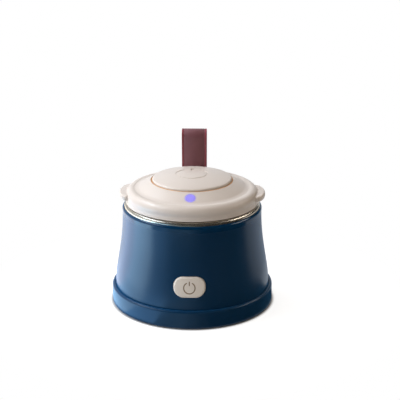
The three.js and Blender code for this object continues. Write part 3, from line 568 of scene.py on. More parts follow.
def makeTray(look):
    ring, low, top = look["ring"], look["low"], look["top"]
    piece = asPiece(spun([
        (0, low),
        *arc(ring - look["heel"], low + look["heel"], look["heel"], -90, 0, 5),
        *arc(ring - look["topRound"], top - look["topRound"], look["topRound"], 0, 90, 10),
        *arc(look["inner"] + look["innerRound"], top - look["innerRound"], look["innerRound"], 90, 180, 4),
        (look["inner"], look["floor"]),
        (0, look["floor"]),
    ]), "baseTray")
    for node in baseScrewNodes:
        screwPost(piece, look, node)
    for node in footNodes:
        onAxis(piece, node, look["footRoom"], low - past, look["footRoomTop"], segments=64)
    finished(piece, "base", "navy_plastic", ["base_tray"])


makeTray(trayLook)

# Rubber feet with two moulded grip rings
footLook = {"radius": 6.0, "height": 1.2, "edge": 0.4, "rings": (2.2, 4.2), "ringWidth": 0.5, "ringDepth": 0.25}


def makeFoot(look, node, name):
    profile = [(0, 0)]
    for ring in look["rings"]:
        half = look["ringWidth"] / 2
        profile += [
            (ring - half, 0), (ring - half / 2, look["ringDepth"]), (ring + half / 2, look["ringDepth"]),
            (ring + half, 0),
        ]
    profile += arc(look["radius"] - look["edge"], look["edge"], look["edge"], -90, 0, 4)
    profile += [(look["radius"], look["height"]), (0, look["height"])]
    x, y, z = middleOf(node)
    finished(asPiece(moved(spun(profile, 64), (x, y, 0)), name), "base", "black_rubber", [node])


for index, node in enumerate(footNodes, 1):
    makeFoot(footLook, node, f"foot{index}")

# Pan-head screws, head down, with a cross recess and a coarse thread
baseScrewLook = {
    "head": 2.4, "headHeight": 1.8, "headRound": 0.8, "shank": 1.3, "length": 8.5, "tip": 0.4,
    "pitch": 0.9, "thread": 0.2, "cross": 0.55, "crossReach": 1.5, "crossDepth": 1.0,
}
lidScrewLook = {
    **baseScrewLook, "head": 2.1, "headHeight": 1.6, "shank": 1.1, "length": 8.0,
    "cross": 0.5, "crossReach": 1.3, "crossDepth": 0.9,
}


def makeScrew(look, node, name, body):
    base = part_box(node)[0][2] / mm + look["headHeight"]      # underside of the head
    head, edge, shank = look["head"], look["headRound"], look["shank"]
    profile = [(0, -look["headHeight"]), *arc(head - edge, edge - look["headHeight"], edge, -90, 0, 5), (head, 0)]
    turns = int((look["length"] - 2 * shank) / look["pitch"])
    for i in range(turns):
        z = i * look["pitch"]
        profile += [(shank, z), (shank + look["thread"], z + look["pitch"] / 2)]
    profile += [(shank, turns * look["pitch"]), (shank * look["tip"], look["length"]), (0, look["length"])]
    piece = asPiece(spun(profile, 32), name)
    narrow, wide, depth = look["cross"], 2 * look["crossReach"], 2 * look["crossDepth"]
    for size in ((narrow, wide, depth), (wide, narrow, depth)):
        combined(piece, block(size, (0, 0, -look["headHeight"])))
    x, y, z = middleOf(node)
    reshaped(piece, lambda bm: moved(bm, (x, y, base)))
    finished(piece, body, "steel", [node])


for index, node in enumerate(baseScrewNodes, 1):
    makeScrew(baseScrewLook, node, f"baseScrew{index}", "base")
print("base made")

# Flared body
bodyLook = {
    "foot": 51.5, "low": 3.0, "straightTop": 13.2, "neck": (46.1, 62.5), "handles": (0.267, 0.451),
    "lipMiddle": (44.4, 64.75), "lipRound": 1.85, "lipInner": 45.2, "shelf": (64.1, 62.1), "shelfInner": 42.1,
    "shelfSlope": 1.6, "wall": 2.4, "flankSteps": 36,
    "buttonMiddle": 27.5, "buttonSize": (21.1, 14.2), "buttonCorner": 6.55, "portFit": 0.35, "cut": (12, 5),
    "post": 3.5, "postTop": 16.0, "postLow": 5.1, "pilot": 1.6, "pilotRoof": 2.0, "web": (4.5, 2.0), "webOut": 2.2,
}


def flankPoints(look, inset=0.0):
    (neck, neckZ), foot, straight = look["neck"], look["foot"], look["straightTop"]
    height = neckZ - straight
    knots = [
        (foot, straight), (foot, straight + look["handles"][0] * height),
        (neck, neckZ - look["handles"][1] * height), (neck, neckZ),
    ]
    return [(r - inset, z) for r, z in [(foot, look["low"]), *curved(knots, look["flankSteps"])]]


def flankRadius(z):
    points = flankPoints(bodyLook)
    for (r0, z0), (r1, z1) in zip(points, points[1:]):
        if z <= z1:
            return r0 + (r1 - r0) * (z - z0) / (z1 - z0)
    return points[-1][0]


def pill(width, height, corner, low, high):
    # an upright rounded plate: width along X, height along Z, from low to high along Y
    bm = block((width, high - low, height), (0, (low + high) / 2, 0))
    return bevel(bm, edgesAlong(bm, 1), corner, 14)


def makeShell(look):
    shelfTop, shelfLow = look["shelf"]
    inside = [point for point in flankPoints(look, look["wall"]) if point[1] < shelfLow - look["shelfSlope"]]
    lipR, lipZ = look["lipMiddle"]
    lipEnd = math.degrees(math.acos((look["lipInner"] - lipR) / look["lipRound"]))
    piece = asPiece(spun([
        *flankPoints(look),
        *arc(lipR, lipZ, look["lipRound"], 0, lipEnd, 10),
        (look["lipInner"], shelfTop), (look["shelfInner"], shelfTop), (look["shelfInner"], shelfLow),
        *reversed(inside),
    ]), "outerShell")
    inward, outward = look["cut"]
    hole = pill(*look["buttonSize"], look["buttonCorner"], -look["foot"] - outward, -look["foot"] + inward)
    combined(piece, moved(hole, (0, 0, look["buttonMiddle"])))
    first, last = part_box("charge_socket")
    portWidth, portHeight = ((last[i] - first[i]) / mm + 2 * look["portFit"] for i in (0, 2))
    port = pill(portWidth, portHeight, portHeight / 2 - shy, look["foot"] - inward, look["foot"] + outward)
    combined(piece, moved(port, (0, 0, middleOf("charge_socket").z)))
    low, top = look["postLow"], look["postTop"]
    for node in baseScrewNodes:
        x, y, z = middleOf(node)
        web = block((*look["web"], top - low), (math.hypot(x, y) + look["webOut"], 0, (top + low) / 2))
        combined(piece, turned(web, Matrix.Rotation(math.atan2(y, x), 4, "Z")), "UNION")
        onAxis(piece, node, look["post"], low, top, "UNION")
        onAxis(piece, node, look["pilot"], low - past, top - look["pilotRoof"])
    finished(piece, "base", "navy_plastic", ["outer_shell"])


makeShell(bodyLook)
print("body made")


# Signs: a ring with a gap and a bar, as solids that cut a face
def signSolids(look, deep, high):
    # drawn in the XY plane round the ring's middle, the bar along +Y
    gap, radius, half = math.radians(look["gap"]), look["radius"], look["line"] / 2
    start, sweep = math.pi / 2 + gap, fullTurn - 2 * gap
    ring = bmesh.new()
    section = ((radius - half, deep), (radius + half, deep), (radius + half, high), (radius - half, high))
    ring.faces.new([ring.verts.new((r * mm, 0, z * mm)) for r, z in section])
    turned(ring, Matrix.Rotation(start, 4, "Z"))
    bmesh.ops.spin(
        ring, geom=ring.verts[:] + ring.edges[:] + ring.faces[:], cent=(0, 0, 0), axis=(0, 0, 1), angle=sweep,
        steps=56,
    )
    bmesh.ops.recalc_face_normals(ring, faces=ring.faces[:])
    solids = [ring]
    for turn in (start, start + sweep):
        solids.append(moved(rod(half, deep, high, 20), (radius * math.cos(turn), radius * math.sin(turn), 0)))
    (low, top), barLine, barDeep = look["bar"], look["barLine"], deep - look["barDeeper"]
    solids.append(block((barLine, top - low, high - barDeep), (0, (low + top) / 2, (barDeep + high) / 2)))
    for y in (low, top):
        solids.append(moved(rod(barLine / 2, barDeep, high, 20), (0, y, 0)))
    return solids


# Start button: a cap whose face follows the flare, with the sign engraved and inked
startLook = {
    "size": (20.4, 13.5), "corner": 6.2, "proud": 0.7, "round": 1.1, "depth": 3.4,
    "flangeLap": 1.9, "flange": (2.7, 4.1), "stem": 2.0, "stemEnd": 4.4, "flatFrom": 4.2,
    "sign": {"radius": 3.6, "line": 0.75, "gap": 32, "bar": (1.8, 3.9), "barLine": 0.75, "barDeeper": 0},
    "signDrop": 0.25, "signDepth": 0.25, "slices": ((0, 13, 0.65), (2, 9, 1.0)),
}


def makeStartButton(look):
    # built flat, its face at Y = -proud, then bent to the flare
    width, height = look["size"]
    cap = pill(width, height, look["corner"], -look["proud"], look["depth"])
    face = sharpEdges(cap, 40, lambda middle: middle.y < shy - look["proud"])
    piece = asPiece(bevel(cap, face, look["round"], 6), "startButton", finishes["warm_grey_plastic"], signInk)
    lap = 2 * look["flangeLap"]
    combined(piece, pill(width + lap, height + lap, look["corner"] + look["flangeLap"], *look["flange"]), "UNION")
    upright = Matrix.Rotation(math.pi / 2, 4, "X")     # the sign's Y becomes Z, its Z becomes -Y
    combined(piece, turned(rod(look["stem"], -look["stemEnd"], -look["depth"]), upright), "UNION")
    for solid in signSolids(look["sign"], look["proud"] - look["signDepth"], look["proud"] + past):
        combined(piece, moved(turned(solid, upright), (0, 0, -look["signDrop"])), paint=signInk)

    def bend(bm):
        sliced(bm, look["slices"])
        middle = bodyLook["buttonMiddle"]
        for corner in bm.verts:
            x, y, z = corner.co / mm
            if y > look["flatFrom"]:      # the stem's end stays flat
                y -= flankRadius(middle)
            else:
                y = -math.sqrt((flankRadius(z + middle) - y) ** 2 - x ** 2)
            corner.co = Vector((x, y, z + middle)) * mm
        bmesh.ops.triangulate(bm, faces=[f for f in bm.faces if len(f.verts) > 4])

    reshaped(piece, bend)
    finished(piece, "start_button", "warm_grey_plastic", ["start_button"], 40)


makeStartButton(startLook)
print("start button made")

# Steel cup with its rolled rim
cupLook = {
    "inner": 41.0, "floorRadius": 39.5, "floor": 34.2, "corner": 5.0, "wall": 0.8,
    "rim": (42.95, 66.8), "roll": 1.95, "tuck": 65.6,
}


def makeCup(look):
    flat, floor, wall = look["floorRadius"] - look["corner"], look["floor"], look["wall"]
    (rimR, rimZ), roll = look["rim"], look["roll"]
    finished(asPiece(spun([
        (0, floor),
        *arc(flat, floor + look["corner"], look["corner"], -90, 0, 12),
        *arc(rimR, rimZ, roll, 180, 0, 24),
        (rimR + roll, look["tuck"]), (look["inner"] + wall, look["tuck"]),
        *arc(flat, floor + look["corner"], look["corner"] + wall, 0, -90, 8),
        (0, floor - wall),
    ]), "steelCup"), "base", "steel", ["steel_cup"])


makeCup(cupLook)
print("cup made")

# Lid: skirt, round shoulder, sloping band, ears and strap cheeks
lidBase = 69.05
lidLook = {
    "skirt": 43.8, "wall": 2.0, "edge": 0.4, "shoulder": (39.3, 4.95), "round": 4.5, "valley": 104,
    "curl": 20, "waist": ((43.6, 1.3), (43.22, 2.57)),
    "crease": (36.0, 9.45), "valleyEnd": 1.2, "valleyPull": 0.7, "brim": (27.4, 14.2), "brimRound": 0.3,
    "brimLow": 13.95, "top": 14.55, "well": 27.05, "ledge": (12.05, 10.45), "guide": 22.3,
    "earTip": 48.3, "earWidth": 27.5, "earDepth": 6.0, "earLow": 3.2, "earHeight": 3.8, "earRound": 1.4,
    "cheeks": (9.0, 11.6), "cheekRadius": 3.3, "cheekRound": 0.5, "pin": (48.2, 4.0), "pinHole": (1.65, -14, 14),
    "lens": (31.8, 12.0), "lensHole": (3.15, -6, 3), "rootInside": 41.9, "core": 42.8,
}
bandTilt = math.radians(29.54)


def lidEar(look, side):
    # an oval plate on the skirt's side, its inner half cut away where the skirt stands
    depth, half, low = look["earDepth"], look["earWidth"] / 2, look["earLow"]
    bm = rod(1, low, low + look["earHeight"], 128)
    bmesh.ops.scale(bm, vec=(depth, half, 1), verts=bm.verts[:])
    bevel(bm, sharpEdges(bm, 60), look["earRound"], 6)
    ear = asPiece(moved(bm, (side * (look["earTip"] - depth), 0, 0)), "ear")
    return takenApart(combined(ear, rod(look["core"], -past, look["top"], 192)))


def strapCheek(look, side):
    low, high = look["cheeks"]
    root, radius = look["rootInside"], look["cheekRadius"]
    pinY, pinZ = look["pin"]
    tip = pinY + radius
    bm = block((high - low, tip - root, 2 * radius), (side * (low + high) / 2, (tip + root) / 2, pinZ))
    bevel(bm, edgesAlong(bm, 0, lambda middle: middle.y > root + past), radius - shy, 16)
    return bevel(bm, sharpEdges(bm, 40, lambda middle: middle.y > root + past), look["cheekRound"], 3)


def makeLid(look):
    shoulderR, shoulderZ = look["shoulder"]
    radius, wall = look["round"], look["wall"]
    (creaseR, creaseZ), (brimR, brimZ) = look["crease"], look["brim"]
    ledgeTop, ledgeLow = look["ledge"]
    slope = math.tan(bandTilt)
    underCrease = creaseZ - wall / math.cos(bandTilt)
    hub = creaseR - (ledgeLow - underCrease) / slope
    shoulder = arc(shoulderR, shoulderZ, radius, -look["curl"], look["valley"], 30)
    # the waist: the skirt is a little hollow under the shoulder
    waist = curved([(look["skirt"], look["edge"]), *look["waist"], shoulder[0]], 12)
    # the valley: a small concave curve from the shoulder's back to the band
    (lastR, lastZ), pull, turn = shoulder[-1], look["valleyPull"], math.radians(look["valley"] - 90)
    endR, endZ = creaseR - look["valleyEnd"], creaseZ + look["valleyEnd"] * slope
    valley = curved([
        (lastR, lastZ), (lastR - pull * math.cos(turn), lastZ - pull * math.sin(turn)),
        (endR + pull * math.cos(bandTilt), endZ - pull * math.sin(bandTilt)), (endR, endZ),
    ], 10)
    piece = asPiece(spun([
        (look["skirt"] - wall, 0),
        *arc(look["skirt"] - look["edge"], look["edge"], look["edge"], -90, 0, 4),
        *waist[1:-1],
        *shoulder,
        *valley[1:],
        *arc(brimR, brimZ, look["brimRound"], 60, 180, 5), (look["well"], look["brimLow"]),
        (look["well"], ledgeTop), (look["guide"], ledgeTop), (look["guide"], ledgeLow), (hub, ledgeLow),
        (creaseR, underCrease),
        *arc(shoulderR, shoulderZ, radius - wall, 90, 0, 8),
    ]), "lidShell")
    for side in (1, -1):
        combined(piece, lidEar(look, side), "UNION")
        combined(piece, strapCheek(look, side), "UNION")
    lensY, lensZ = look["lens"]
    hole = turned(rod(*look["lensHole"], 64), Matrix.Rotation(bandTilt, 4, "X"))
    combined(piece, moved(hole, (0, -lensY, lensZ)))
    pinY, pinZ = look["pin"]
    combined(piece, moved(turned(rod(*look["pinHole"], 32), sideways), (0, pinY, pinZ)))
    reshaped(piece, lambda bm: moved(bm, (0, 0, lidBase)))
    finished(piece, "lid", "cream_plastic", ["lid_shell"])


makeLid(lidLook)
print("lid made")

# Seam ring round the pressed centre
ringLook = {"inner": 26.35, "outer": 26.9, "low": 82.4, "high": 83.6, "round": 0.2}


def makeTrimRing(look):
    inner, outer, low, high, soft = (look[key] for key in ("inner", "outer", "low", "high", "round"))
    finished(asPiece(spun([
        (inner, low), (outer, low), *arc(outer - soft, high - soft, soft, 0, 90, 4),
        *arc(inner + soft, high - soft, soft, 90, 180, 4),
    ]), "trimRing"), "lid", "copper_trim", ["accent_ring"])


makeTrimRing(ringLook)

# Pressed centre of the lid: a shallow dome, the sign engraved in it
domeLook = {
    "radius": 26.2, "low": 83.2, "edge": 83.85, "edgeRound": 1.2, "edgeTurn": 76, "cap": 25.0, "crown": 88.3,
    "sphere": 97.78, "wall": 1.8, "guide": (20.5, 22.0), "guideLow": 77.8, "snap": 1.4, "snapTop": 79.2,
    "sign": {"radius": 10.2, "line": 1.4, "gap": 34, "bar": (4.2, 10.8), "barLine": 2.0, "barDeeper": 0.25},
    "signDepth": 0.28, "signForward": 1.1, "slices": ((0, 12, 1.5), (1, 14, 1.5)),
}


def domeDrop(r):
    sphere = domeLook["sphere"]
    return sphere - math.sqrt(sphere ** 2 - r ** 2)


def domeLine(top, reach, steps):
    # the dome's section from the axis out
    return [(reach * i / steps, top - domeDrop(reach * i / steps)) for i in range(steps + 1)]


def makeDome(look):
    inner, outer = look["guide"]
    crown, low, snap = look["crown"], look["guideLow"], look["snap"]
    piece = asPiece(spun([
        *domeLine(crown - look["wall"], inner, 6),
        (inner, low), (outer + snap / 2, low), (outer + snap, look["snapTop"]), (outer, look["snapTop"]),
        (outer, look["low"]), (look["radius"], look["low"]),
        *arc(look["radius"] - look["edgeRound"], look["edge"], look["edgeRound"], 0, look["edgeTurn"], 8),
        *reversed(domeLine(crown, look["cap"], 14)[:-1]),
    ], 160), "lidCentre")
    for solid in signSolids(look["sign"], crown - look["signDepth"], crown + 2 * past):
        # the cut follows the dome, so that it is equally deep all round
        moved(solid, (0, -look["signForward"], 0))
        sliced(solid, look["slices"])
        for corner in solid.verts:
            corner.co.z -= domeDrop(math.hypot(corner.co.x, corner.co.y) / mm) * mm
        combined(piece, solid)
    finished(piece, "lid_button", "cream_plastic", ["lid_button"], 30)


makeDome(domeLook)
print("dome made")

# Indicator lens
lensLook = {
    "radius": 3.0, "crown": 0.5, "steps": 8, "flange": 3.8, "flangeLow": -3.1, "flangeTop": -2.3,
    "pipe": 1.6, "low": -5.5,
}


def makeLens(look):
    radius, crown, flange, flangeTop = (look[key] for key in ("radius", "crown", "flange", "flangeTop"))
    sphere = (radius ** 2 + crown ** 2) / (2 * crown)
    reaches = [radius * i / look["steps"] for i in range(look["steps"], -1, -1)]
    bm = spun([
        (0, look["low"]), (look["pipe"], look["low"]), (look["pipe"], look["flangeLow"]),
        (flange, look["flangeLow"]), (flange, flangeTop), (radius, flangeTop),
        *[(r, crown - sphere + math.sqrt(sphere ** 2 - r ** 2)) for r in reaches],
    ], 64)
    lensY, lensZ = lidLook["lens"]
    moved(turned(bm, Matrix.Rotation(bandTilt, 4, "X")), (0, -lensY, lidBase + lensZ))
    finished(asPiece(bm, "indicatorLens"), "lid", "violet_lens", ["led_lens"])


makeLens(lensLook)

# Strap: a leather belt round its pin and a round top, creased beside both edges
strapLook = {
    "width": 17.2, "thickness": 1.9, "pin": (48.2, 73.05), "low": 3.7, "top": (47.7, 99.89), "high": 5.5,
    "edgeRound": 0.8, "crease": 1.5, "creaseWidth": 0.25, "creaseDepth": 0.14, "paintReach": 1.25,
}


def belt(look, inset, half):
    # the hull of two discs, one round the pin and one at the top
    bm = bmesh.new()
    for (y, z), radius in ((look["pin"], look["low"]), (look["top"], look["high"])):
        for x in (-half, half):
            place = Matrix.Translation(Vector((x, y, z)) * mm) @ sideways
            bmesh.ops.create_circle(bm, segments=72, radius=(radius - inset) * mm, matrix=place)
    hull = bmesh.ops.convex_hull(bm, input=bm.verts[:])
    loose = [item for item in hull["geom_interior"] if isinstance(item, bmesh.types.BMVert)]
    bmesh.ops.delete(bm, geom=loose, context="VERTS")
    bmesh.ops.recalc_face_normals(bm, faces=bm.faces[:])
    return bm


def makeStrap(look):
    half = look["width"] / 2
    piece = asPiece(belt(look, 0, half), "strapLoop", finishes["burgundy_leather"], edgePaint)
    combined(piece, belt(look, look["thickness"], half + 2 * past))

    def dress(bm):
        bmesh.ops.dissolve_limit(bm, angle_limit=math.radians(0.5), verts=bm.verts[:], edges=bm.edges[:])
        bevel(bm, sharpEdges(bm, 60, lambda middle: abs(middle.x) > half - shy), look["edgeRound"], 4)
        line, width = half - look["crease"], look["creaseWidth"]
        slicedAt(bm, 0, [side * (line + offset) for side in (-1, 1) for offset in (-width, 0, width)])
        bm.normal_update()
        for corner in bm.verts:
            if abs(abs(corner.co.x) - line * mm) < 1e-6:
                corner.co -= corner.normal * look["creaseDepth"] * mm
        for face in bm.faces:
            face.material_index = int(abs(face.calc_center_median().x) > (half - look["paintReach"]) * mm)

    reshaped(piece, dress)
    finished(piece, "strap", "burgundy_leather", ["strap"])


makeStrap(strapLook)

# Strap pin
pinLook = {"radius": 1.5, "half": 11.6, "edge": 0.3}


def makePin(look):
    bm = rod(look["radius"], -look["half"], look["half"])
    bevel(bm, sharpEdges(bm, 60), look["edge"], 3)
    pinY, pinZ = lidLook["pin"]
    moved(turned(bm, sideways), (0, pinY, lidBase + pinZ))
    finished(asPiece(bm, "strapPin"), "lid", "steel", ["strap_pin"])


makePin(pinLook)
print("strap made")

# Liner under the lid, its seal, the quartz window and the lamps
linerLook = {
    "low": 64.05, "plug": 40.1, "edge": 0.5, "flangeTop": 65.65, "wall": (36.8, 38.6), "floor": 66.05,
    "collarLow": 68.45, "collar": 41.3, "collarTop": 69.65, "boardRest": (17.0, 67.15, 15.5),
    "window": 14.0, "windowRest": 64.85, "opening": 12.0, "openingRound": 0.3,
    "boss": 2.6, "bossLow": 65.45, "bossTop": 68.05, "sink": 2.4, "sinkTop": 66.25, "hole": 1.4,
}
lidScrewNodes = [f"lid_screw_{i}" for i in range(1, 4)]


def makeLiner(look):
    boardR, restZ, restR = look["boardRest"]
    floor, low, collar, edge, soft = (look[key] for key in ("floor", "low", "collar", "edge", "openingRound"))
    wallInner, wallOuter = look["wall"]
    piece = asPiece(spun([
        *arc(look["opening"] + soft, low + soft, soft, 180, 270, 3),
        *arc(look["plug"] - edge, low + edge, edge, -90, 0, 5),
        (look["plug"], look["flangeTop"]), (wallOuter, look["flangeTop"]), (wallOuter, look["collarLow"]),
        (collar, look["collarLow"]), (collar, look["collarTop"]), (wallInner, look["collarTop"]),
        (wallInner, floor), (boardR, floor), (boardR, restZ), (restR, restZ), (restR, floor), (look["window"], floor),
        (look["window"], look["windowRest"]), (look["opening"], look["windowRest"]),
    ], 160), "lidLiner")
    for node in lidScrewNodes:
        screwPost(piece, look, node)
    finished(piece, "lid", "cream_plastic", ["lid_liner"])


makeLiner(linerLook)
for index, node in enumerate(lidScrewNodes, 1):
    makeScrew(lidScrewLook, node, f"lidScrew{index}", "lid")

sealLook = {"inner": 38.9, "outer": 40.7, "low": 65.95, "high": 68.15, "lip": 0.4, "waist": 40.2}


def makeSeal(look):
    outer, low, high, lip = look["outer"], look["low"], look["high"], look["lip"]
    middle = (low + high) / 2
    finished(asPiece(spun([
        (look["inner"], low),
        *arc(outer - lip, low + lip, lip, -90, 60, 6), (look["waist"], middle),
        *arc(outer - lip, high - lip, lip, -60, 90, 6), (look["inner"], high),
    ], 128), "lidSeal"), "lid", "silicone", ["lid_seal"])


makeSeal(sealLook)

windowLook = {"radius": 13.7, "low": 65.15, "high": 66.15, "edge": 0.2}


def makeWindow(look):
    radius, low, high, edge = look["radius"], look["low"], look["high"], look["edge"]
    finished(asPiece(spun([
        (0, low), (radius - edge, low), (radius, low + edge), (radius, high - edge), (radius - edge, high), (0, high),
    ], 96), "quartzWindow"), "lid", "quartz", ["uv_window"], 20)


makeWindow(windowLook)

lampLook = {
    "side": 3.5, "height": 0.7, "edge": 0.15, "cup": (1.25, 1.0), "cupDepth": 0.4, "cupPast": 0.001,
    "chip": 0.9, "chipHeight": 0.15, "chipSunk": 0.01,
}


def makeLamp(look, node, name):
    # faces down: a ceramic square with a round cup and the chip at its bottom
    bm = block((look["side"], look["side"], look["height"]))
    bevel(bm, edgesAlong(bm, 2), look["edge"], 3)
    piece = asPiece(bm, name)
    wide, narrow = look["cup"]
    low = -look["height"] / 2
    bottom = low + look["cupDepth"]
    combined(piece, rod(wide, low - look["cupPast"], bottom, 40, narrow))
    chip, chipHeight = look["chip"], look["chipHeight"]
    combined(piece, block((chip, chip, chipHeight + 2 * look["chipSunk"]), (0, 0, bottom - chipHeight / 2)), "UNION")
    centre = middleOf(node)
    reshaped(piece, lambda bm: moved(bm, centre))
    finished(piece, "lid", "led_package", [node])


for index in range(1, 4):
    makeLamp(lampLook, f"uv_led_{index}", f"uvLamp{index}")
print("liner and lamps made")

# Charging socket: a rolled metal shell, its tongue and gold contacts
socketLook = {
    "wall": 0.3, "room": 6.2, "tongue": (6.2, 4.6, 0.7), "tongueRoot": 0.1,
    "pads": 6, "padSize": (0.35, 2.6, 0.06), "padPitch": 0.91, "padBack": 0.4,
}


def makeSocket(look):
    low, high = (Vector(corner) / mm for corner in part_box("charge_socket"))
    width, length, height = high - low
    bm = pill(width, height, height / 2 - shy, 0, length)
    mouth = [face for face in bm.faces if face.normal.y > 0.9]
    bmesh.ops.inset_region(bm, faces=mouth, thickness=look["wall"] * mm, use_even_offset=True)
    bottom = bmesh.ops.extrude_face_region(bm, geom=mouth)
    bmesh.ops.delete(bm, geom=mouth, context="FACES")
    corners = [item for item in bottom["geom"] if isinstance(item, bmesh.types.BMVert)]
    bmesh.ops.translate(bm, vec=(0, -look["room"] * mm, 0), verts=corners)
    bmesh.ops.recalc_face_normals(bm, faces=bm.faces[:])
    piece = asPiece(bm, "chargingSocket", finishes["nickel"])
    tongue, pad = look["tongue"], look["padSize"]
    start = length - look["room"] - look["tongueRoot"]
    combined(piece, block(tongue, (0, start + tongue[1] / 2, 0)), "UNION", finishes["black_plastic"])
    y = start + tongue[1] - look["padBack"] - pad[1] / 2
    for i in range(look["pads"]):
        for side in (-1, 1):
            at = ((i - (look["pads"] - 1) / 2) * look["padPitch"], y, side * (tongue[2] + pad[2] / 2) / 2)
            combined(piece, block(pad, at), "UNION", finishes["copper_trim"])
    centre = middleOf("charge_socket")
    reshaped(piece, lambda bm: moved(bm, (centre.x, low.y, centre.z)))
    finished(piece, "base", "nickel", ["charge_socket"])


makeSocket(socketLook)
print("socket made")

# The pieces that nothing replaces keep the frame's shape and only get their finish
slotOf = {part["node"]: part["material_slot"] for part in frame["record"]["subparts"]}
for name, piece in nodes.items():
    piece.data.materials.clear()
    piece.data.materials.append(finishes[slotOf[name]])
print("frame pieces finished")

# Studio, in metres: a pale floor that runs out into white, eleven soft lamps, and a dark tent with lit cards
floorLook = {"radius": 3.0, "colour": "#acacac", "lift": 0.85, "paintedContactShadeEdge": (0.0535, 0.0565), "fade": (0.06, 0.15)}
studioLook = {
    "side": 0.6, "reach": 1.2, "aim": 0.05, "left": "#f3f8ff", "right": "#fff0de",
    "lamps": [      # degrees round from the camera side and up from the floor, watts
        (-50, 16, 3.0), (-80, 12, 3.6), (-80, 45, 5.4), (-115, 12, 2.8), (-115, 45, 8.2), (-150, 45, 3.4),
        (10, 14, 1.8), (50, 10, 1.3), (100, 4, 2.3), (130, 50, 0.7), (0, 88, 2.9),
    ],
}
cardLook = {
    "paths": {      # distance from the axis and height, from end to end
        "tent": ((0.0546, 0.001), (1.34, 0.001), (1.34, 1.15), (0.3, 4.8)),
        "top": ((0.02, 4.7), (0.3, 4.7)),
        "near": ((0.0546, 0.0015), (0.12, 0.0015)),
        "far": ((0.12, 0.003), (1.3, 0.003)),
        "floor": ((0.0546, 0.0015), (1.3, 0.0015)),
        "front": ((0.0546, 0.0012), (0.26, 0.0012)),
        "wall": ((1.3, 0.003), (1.3, 1.09)),
        "back": ((1.3, 0.003), (1.3, 1.09), (1.3, 3.0)),
        "leftStrip": ((0.95, 0.95), (0.8, 1.1)),
        "rightStrip": ((1.2, 0.72), (1.15, 0.95)),
    },
    "cards": [      # name, path, degrees from and to round from the camera side, colour, glow
        ("darkTent", "tent", -180, 180, "#000000", 0),
        ("topCard", "top", -180, 180, "#fff4e4", 0.2),
        ("leftNearCard", "near", -96, -54, "#c0e6ff", 2.9),
        ("leftFloorCard", "far", -96, -60, "#c0e6ff", 5.1),
        ("farLeftFloorCard", "floor", -126, -96, "#e2e8f6", 3.2),
        ("leftFrontNearCard", "near", -54, -26, "#9bd0ff", 2.2),
        ("leftFrontCard", "far", -60, -34, "#9bd0ff", 1.2),
        ("nearFloorCard", "front", -34, -2, "#c8efff", 0.5),
        ("frontFloorCard", "front", -2, 6, "#c8efff", 0.3),
        ("frontEndCard", "front", 6, 14, "#c8efff", 0.12),
        ("leftWallCard", "wall", -150, -60, "#f4f9ff", 0.6),
        ("backCard", "back", 150, 210, "#f4f9ff", 0.6),
        ("backFloorCard", "floor", 150, 208, "#f4f9ff", 0.9),
        ("backLeftFloorCard", "floor", -152, -126, "#fff8ee", 1.9),
        ("rightNearCard", "near", 100, 150, "#ffffff", 0.9),
        ("rightFloorCard", "far", 90, 150, "#ffffff", 0.6),
        ("leftStripCard", "leftStrip", -135, -60, "#dcecff", 7.0),
        ("rightStripCard", "rightStrip", 76, 120, "#fff9f2", 6.0),
    ],
}
worldLook = {"colour": "#ffffff"}


def seenDirectly(tree):
    # 1 for rays from the camera and for rays that gloss or glass sends on
    rays = addNode(tree, "ShaderNodeLightPath").outputs
    either = addMath(tree, "MAXIMUM", rays["Is Camera Ray"], rays["Is Glossy Ray"])
    return addMath(tree, "MAXIMUM", either, rays["Is Transmission Ray"])


def makeWorld(look):
    scene.world = bpy.data.worlds.new("studio")
    tree = emptied(scene.world)
    light = addNode(
        tree, "ShaderNodeBackground", {"Color": linearColour(look["colour"])}, {"Strength": seenDirectly(tree)},
    )
    addNode(tree, "ShaderNodeOutputWorld", links={"Surface": light.outputs["Background"]})


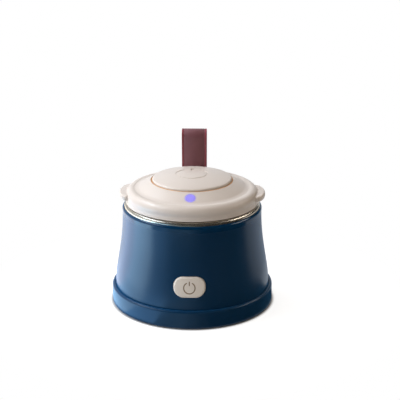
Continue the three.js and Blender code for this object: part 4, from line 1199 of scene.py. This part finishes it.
def makeFloor(look):
    # paper that keeps the object's shadow close to it and turns white farther out; its lift is held back in a thin
    # ring at the object's foot, which paints a dark contact shadow there on top of the real one
    bm = bmesh.new()
    bmesh.ops.create_circle(bm, cap_ends=True, segments=96, radius=look["radius"])
    floor = asPiece(bm, "floor")
    material = bpy.data.materials.new("paleFloor")
    floor.data.materials.append(material)
    tree = emptied(material)
    seen = seenDirectly(tree)
    place = addNode(tree, "ShaderNodeTexCoord").outputs["Object"]
    reach = addNode(tree, "ShaderNodeVectorMath", {"operation": "LENGTH"}, {0: place}).outputs["Value"]
    paper = addNode(tree, "ShaderNodeBsdfDiffuse", {"Color": linearColour(look["colour"])})
    # no lift at the object's foot, full lift 3 mm farther out: a painted contact shadow, on top of the real shadow
    # that the paper takes
    liftPastPaintedShade = addFade(tree, reach, *look["paintedContactShadeEdge"], 0.0, look["lift"])
    lift = addNode(tree, "ShaderNodeEmission", links={"Strength": addMath(tree, "MULTIPLY", seen, liftPastPaintedShade)})
    lit = addNode(tree, "ShaderNodeAddShader", links={0: paper.outputs[0], 1: lift.outputs[0]})
    white = addNode(tree, "ShaderNodeEmission", {"Strength": 1.0})
    away = addMath(tree, "MULTIPLY", addFade(tree, reach, *look["fade"]), seen)
    both = addNode(tree, "ShaderNodeMixShader", links={0: away, 1: lit.outputs[0], 2: white.outputs[0]})
    addNode(tree, "ShaderNodeOutputMaterial", links={"Surface": both.outputs[0]})


def makeCard(name, path, start, end, colour, glow):
    # a bent card, black or lit, as photographers use; only gloss sees it
    bm = bmesh.new()
    corners = [bm.verts.new((r, 0, z)) for r, z in path]
    lines = [bm.edges.new(pair) for pair in zip(corners, corners[1:])]
    turned(bm, Matrix.Rotation(math.radians(start - 90), 4, "Z"))
    bmesh.ops.spin(
        bm, geom=corners + lines, cent=(0, 0, 0), axis=(0, 0, 1), angle=math.radians(end - start), steps=40,
    )
    material = bpy.data.materials.new(name)
    tree = emptied(material)
    light = addNode(tree, "ShaderNodeEmission", {"Color": linearColour(colour), "Strength": glow})
    addNode(tree, "ShaderNodeOutputMaterial", links={"Surface": light.outputs[0]})
    card = asPiece(bm, name, material)
    card.visible_camera = card.visible_diffuse = card.visible_shadow = card.visible_transmission = False


def makeLamps(look):
    # square soft lamps that shine on the object and that gloss doesn't see
    for index, (turn, rise, power) in enumerate(look["lamps"], 1):
        data = bpy.data.lights.new(f"softLamp{index}", "AREA")
        data.shape, data.size, data.energy = "SQUARE", look["side"], power
        data.color = linearColour(look["left" if turn < 0 else "right"])[:3]
        lamp = bpy.data.objects.new(data.name, data)
        aim = Vector((0, 0, look["aim"]))
        way = Vector((0, -look["reach"], 0))
        way.rotate(Euler((-math.radians(rise), 0, math.radians(turn))))
        lamp.location = aim + way
        lamp.rotation_euler = (-way).to_track_quat("-Z", "Y").to_euler()
        lamp.visible_camera = lamp.visible_glossy = False
        scene.collection.objects.link(lamp)


makeWorld(worldLook)
makeFloor(floorLook)
for name, path, *rest in cardLook["cards"]:
    makeCard(name, cardLook["paths"][path], *rest)
makeLamps(studioLook)
print("studio made")
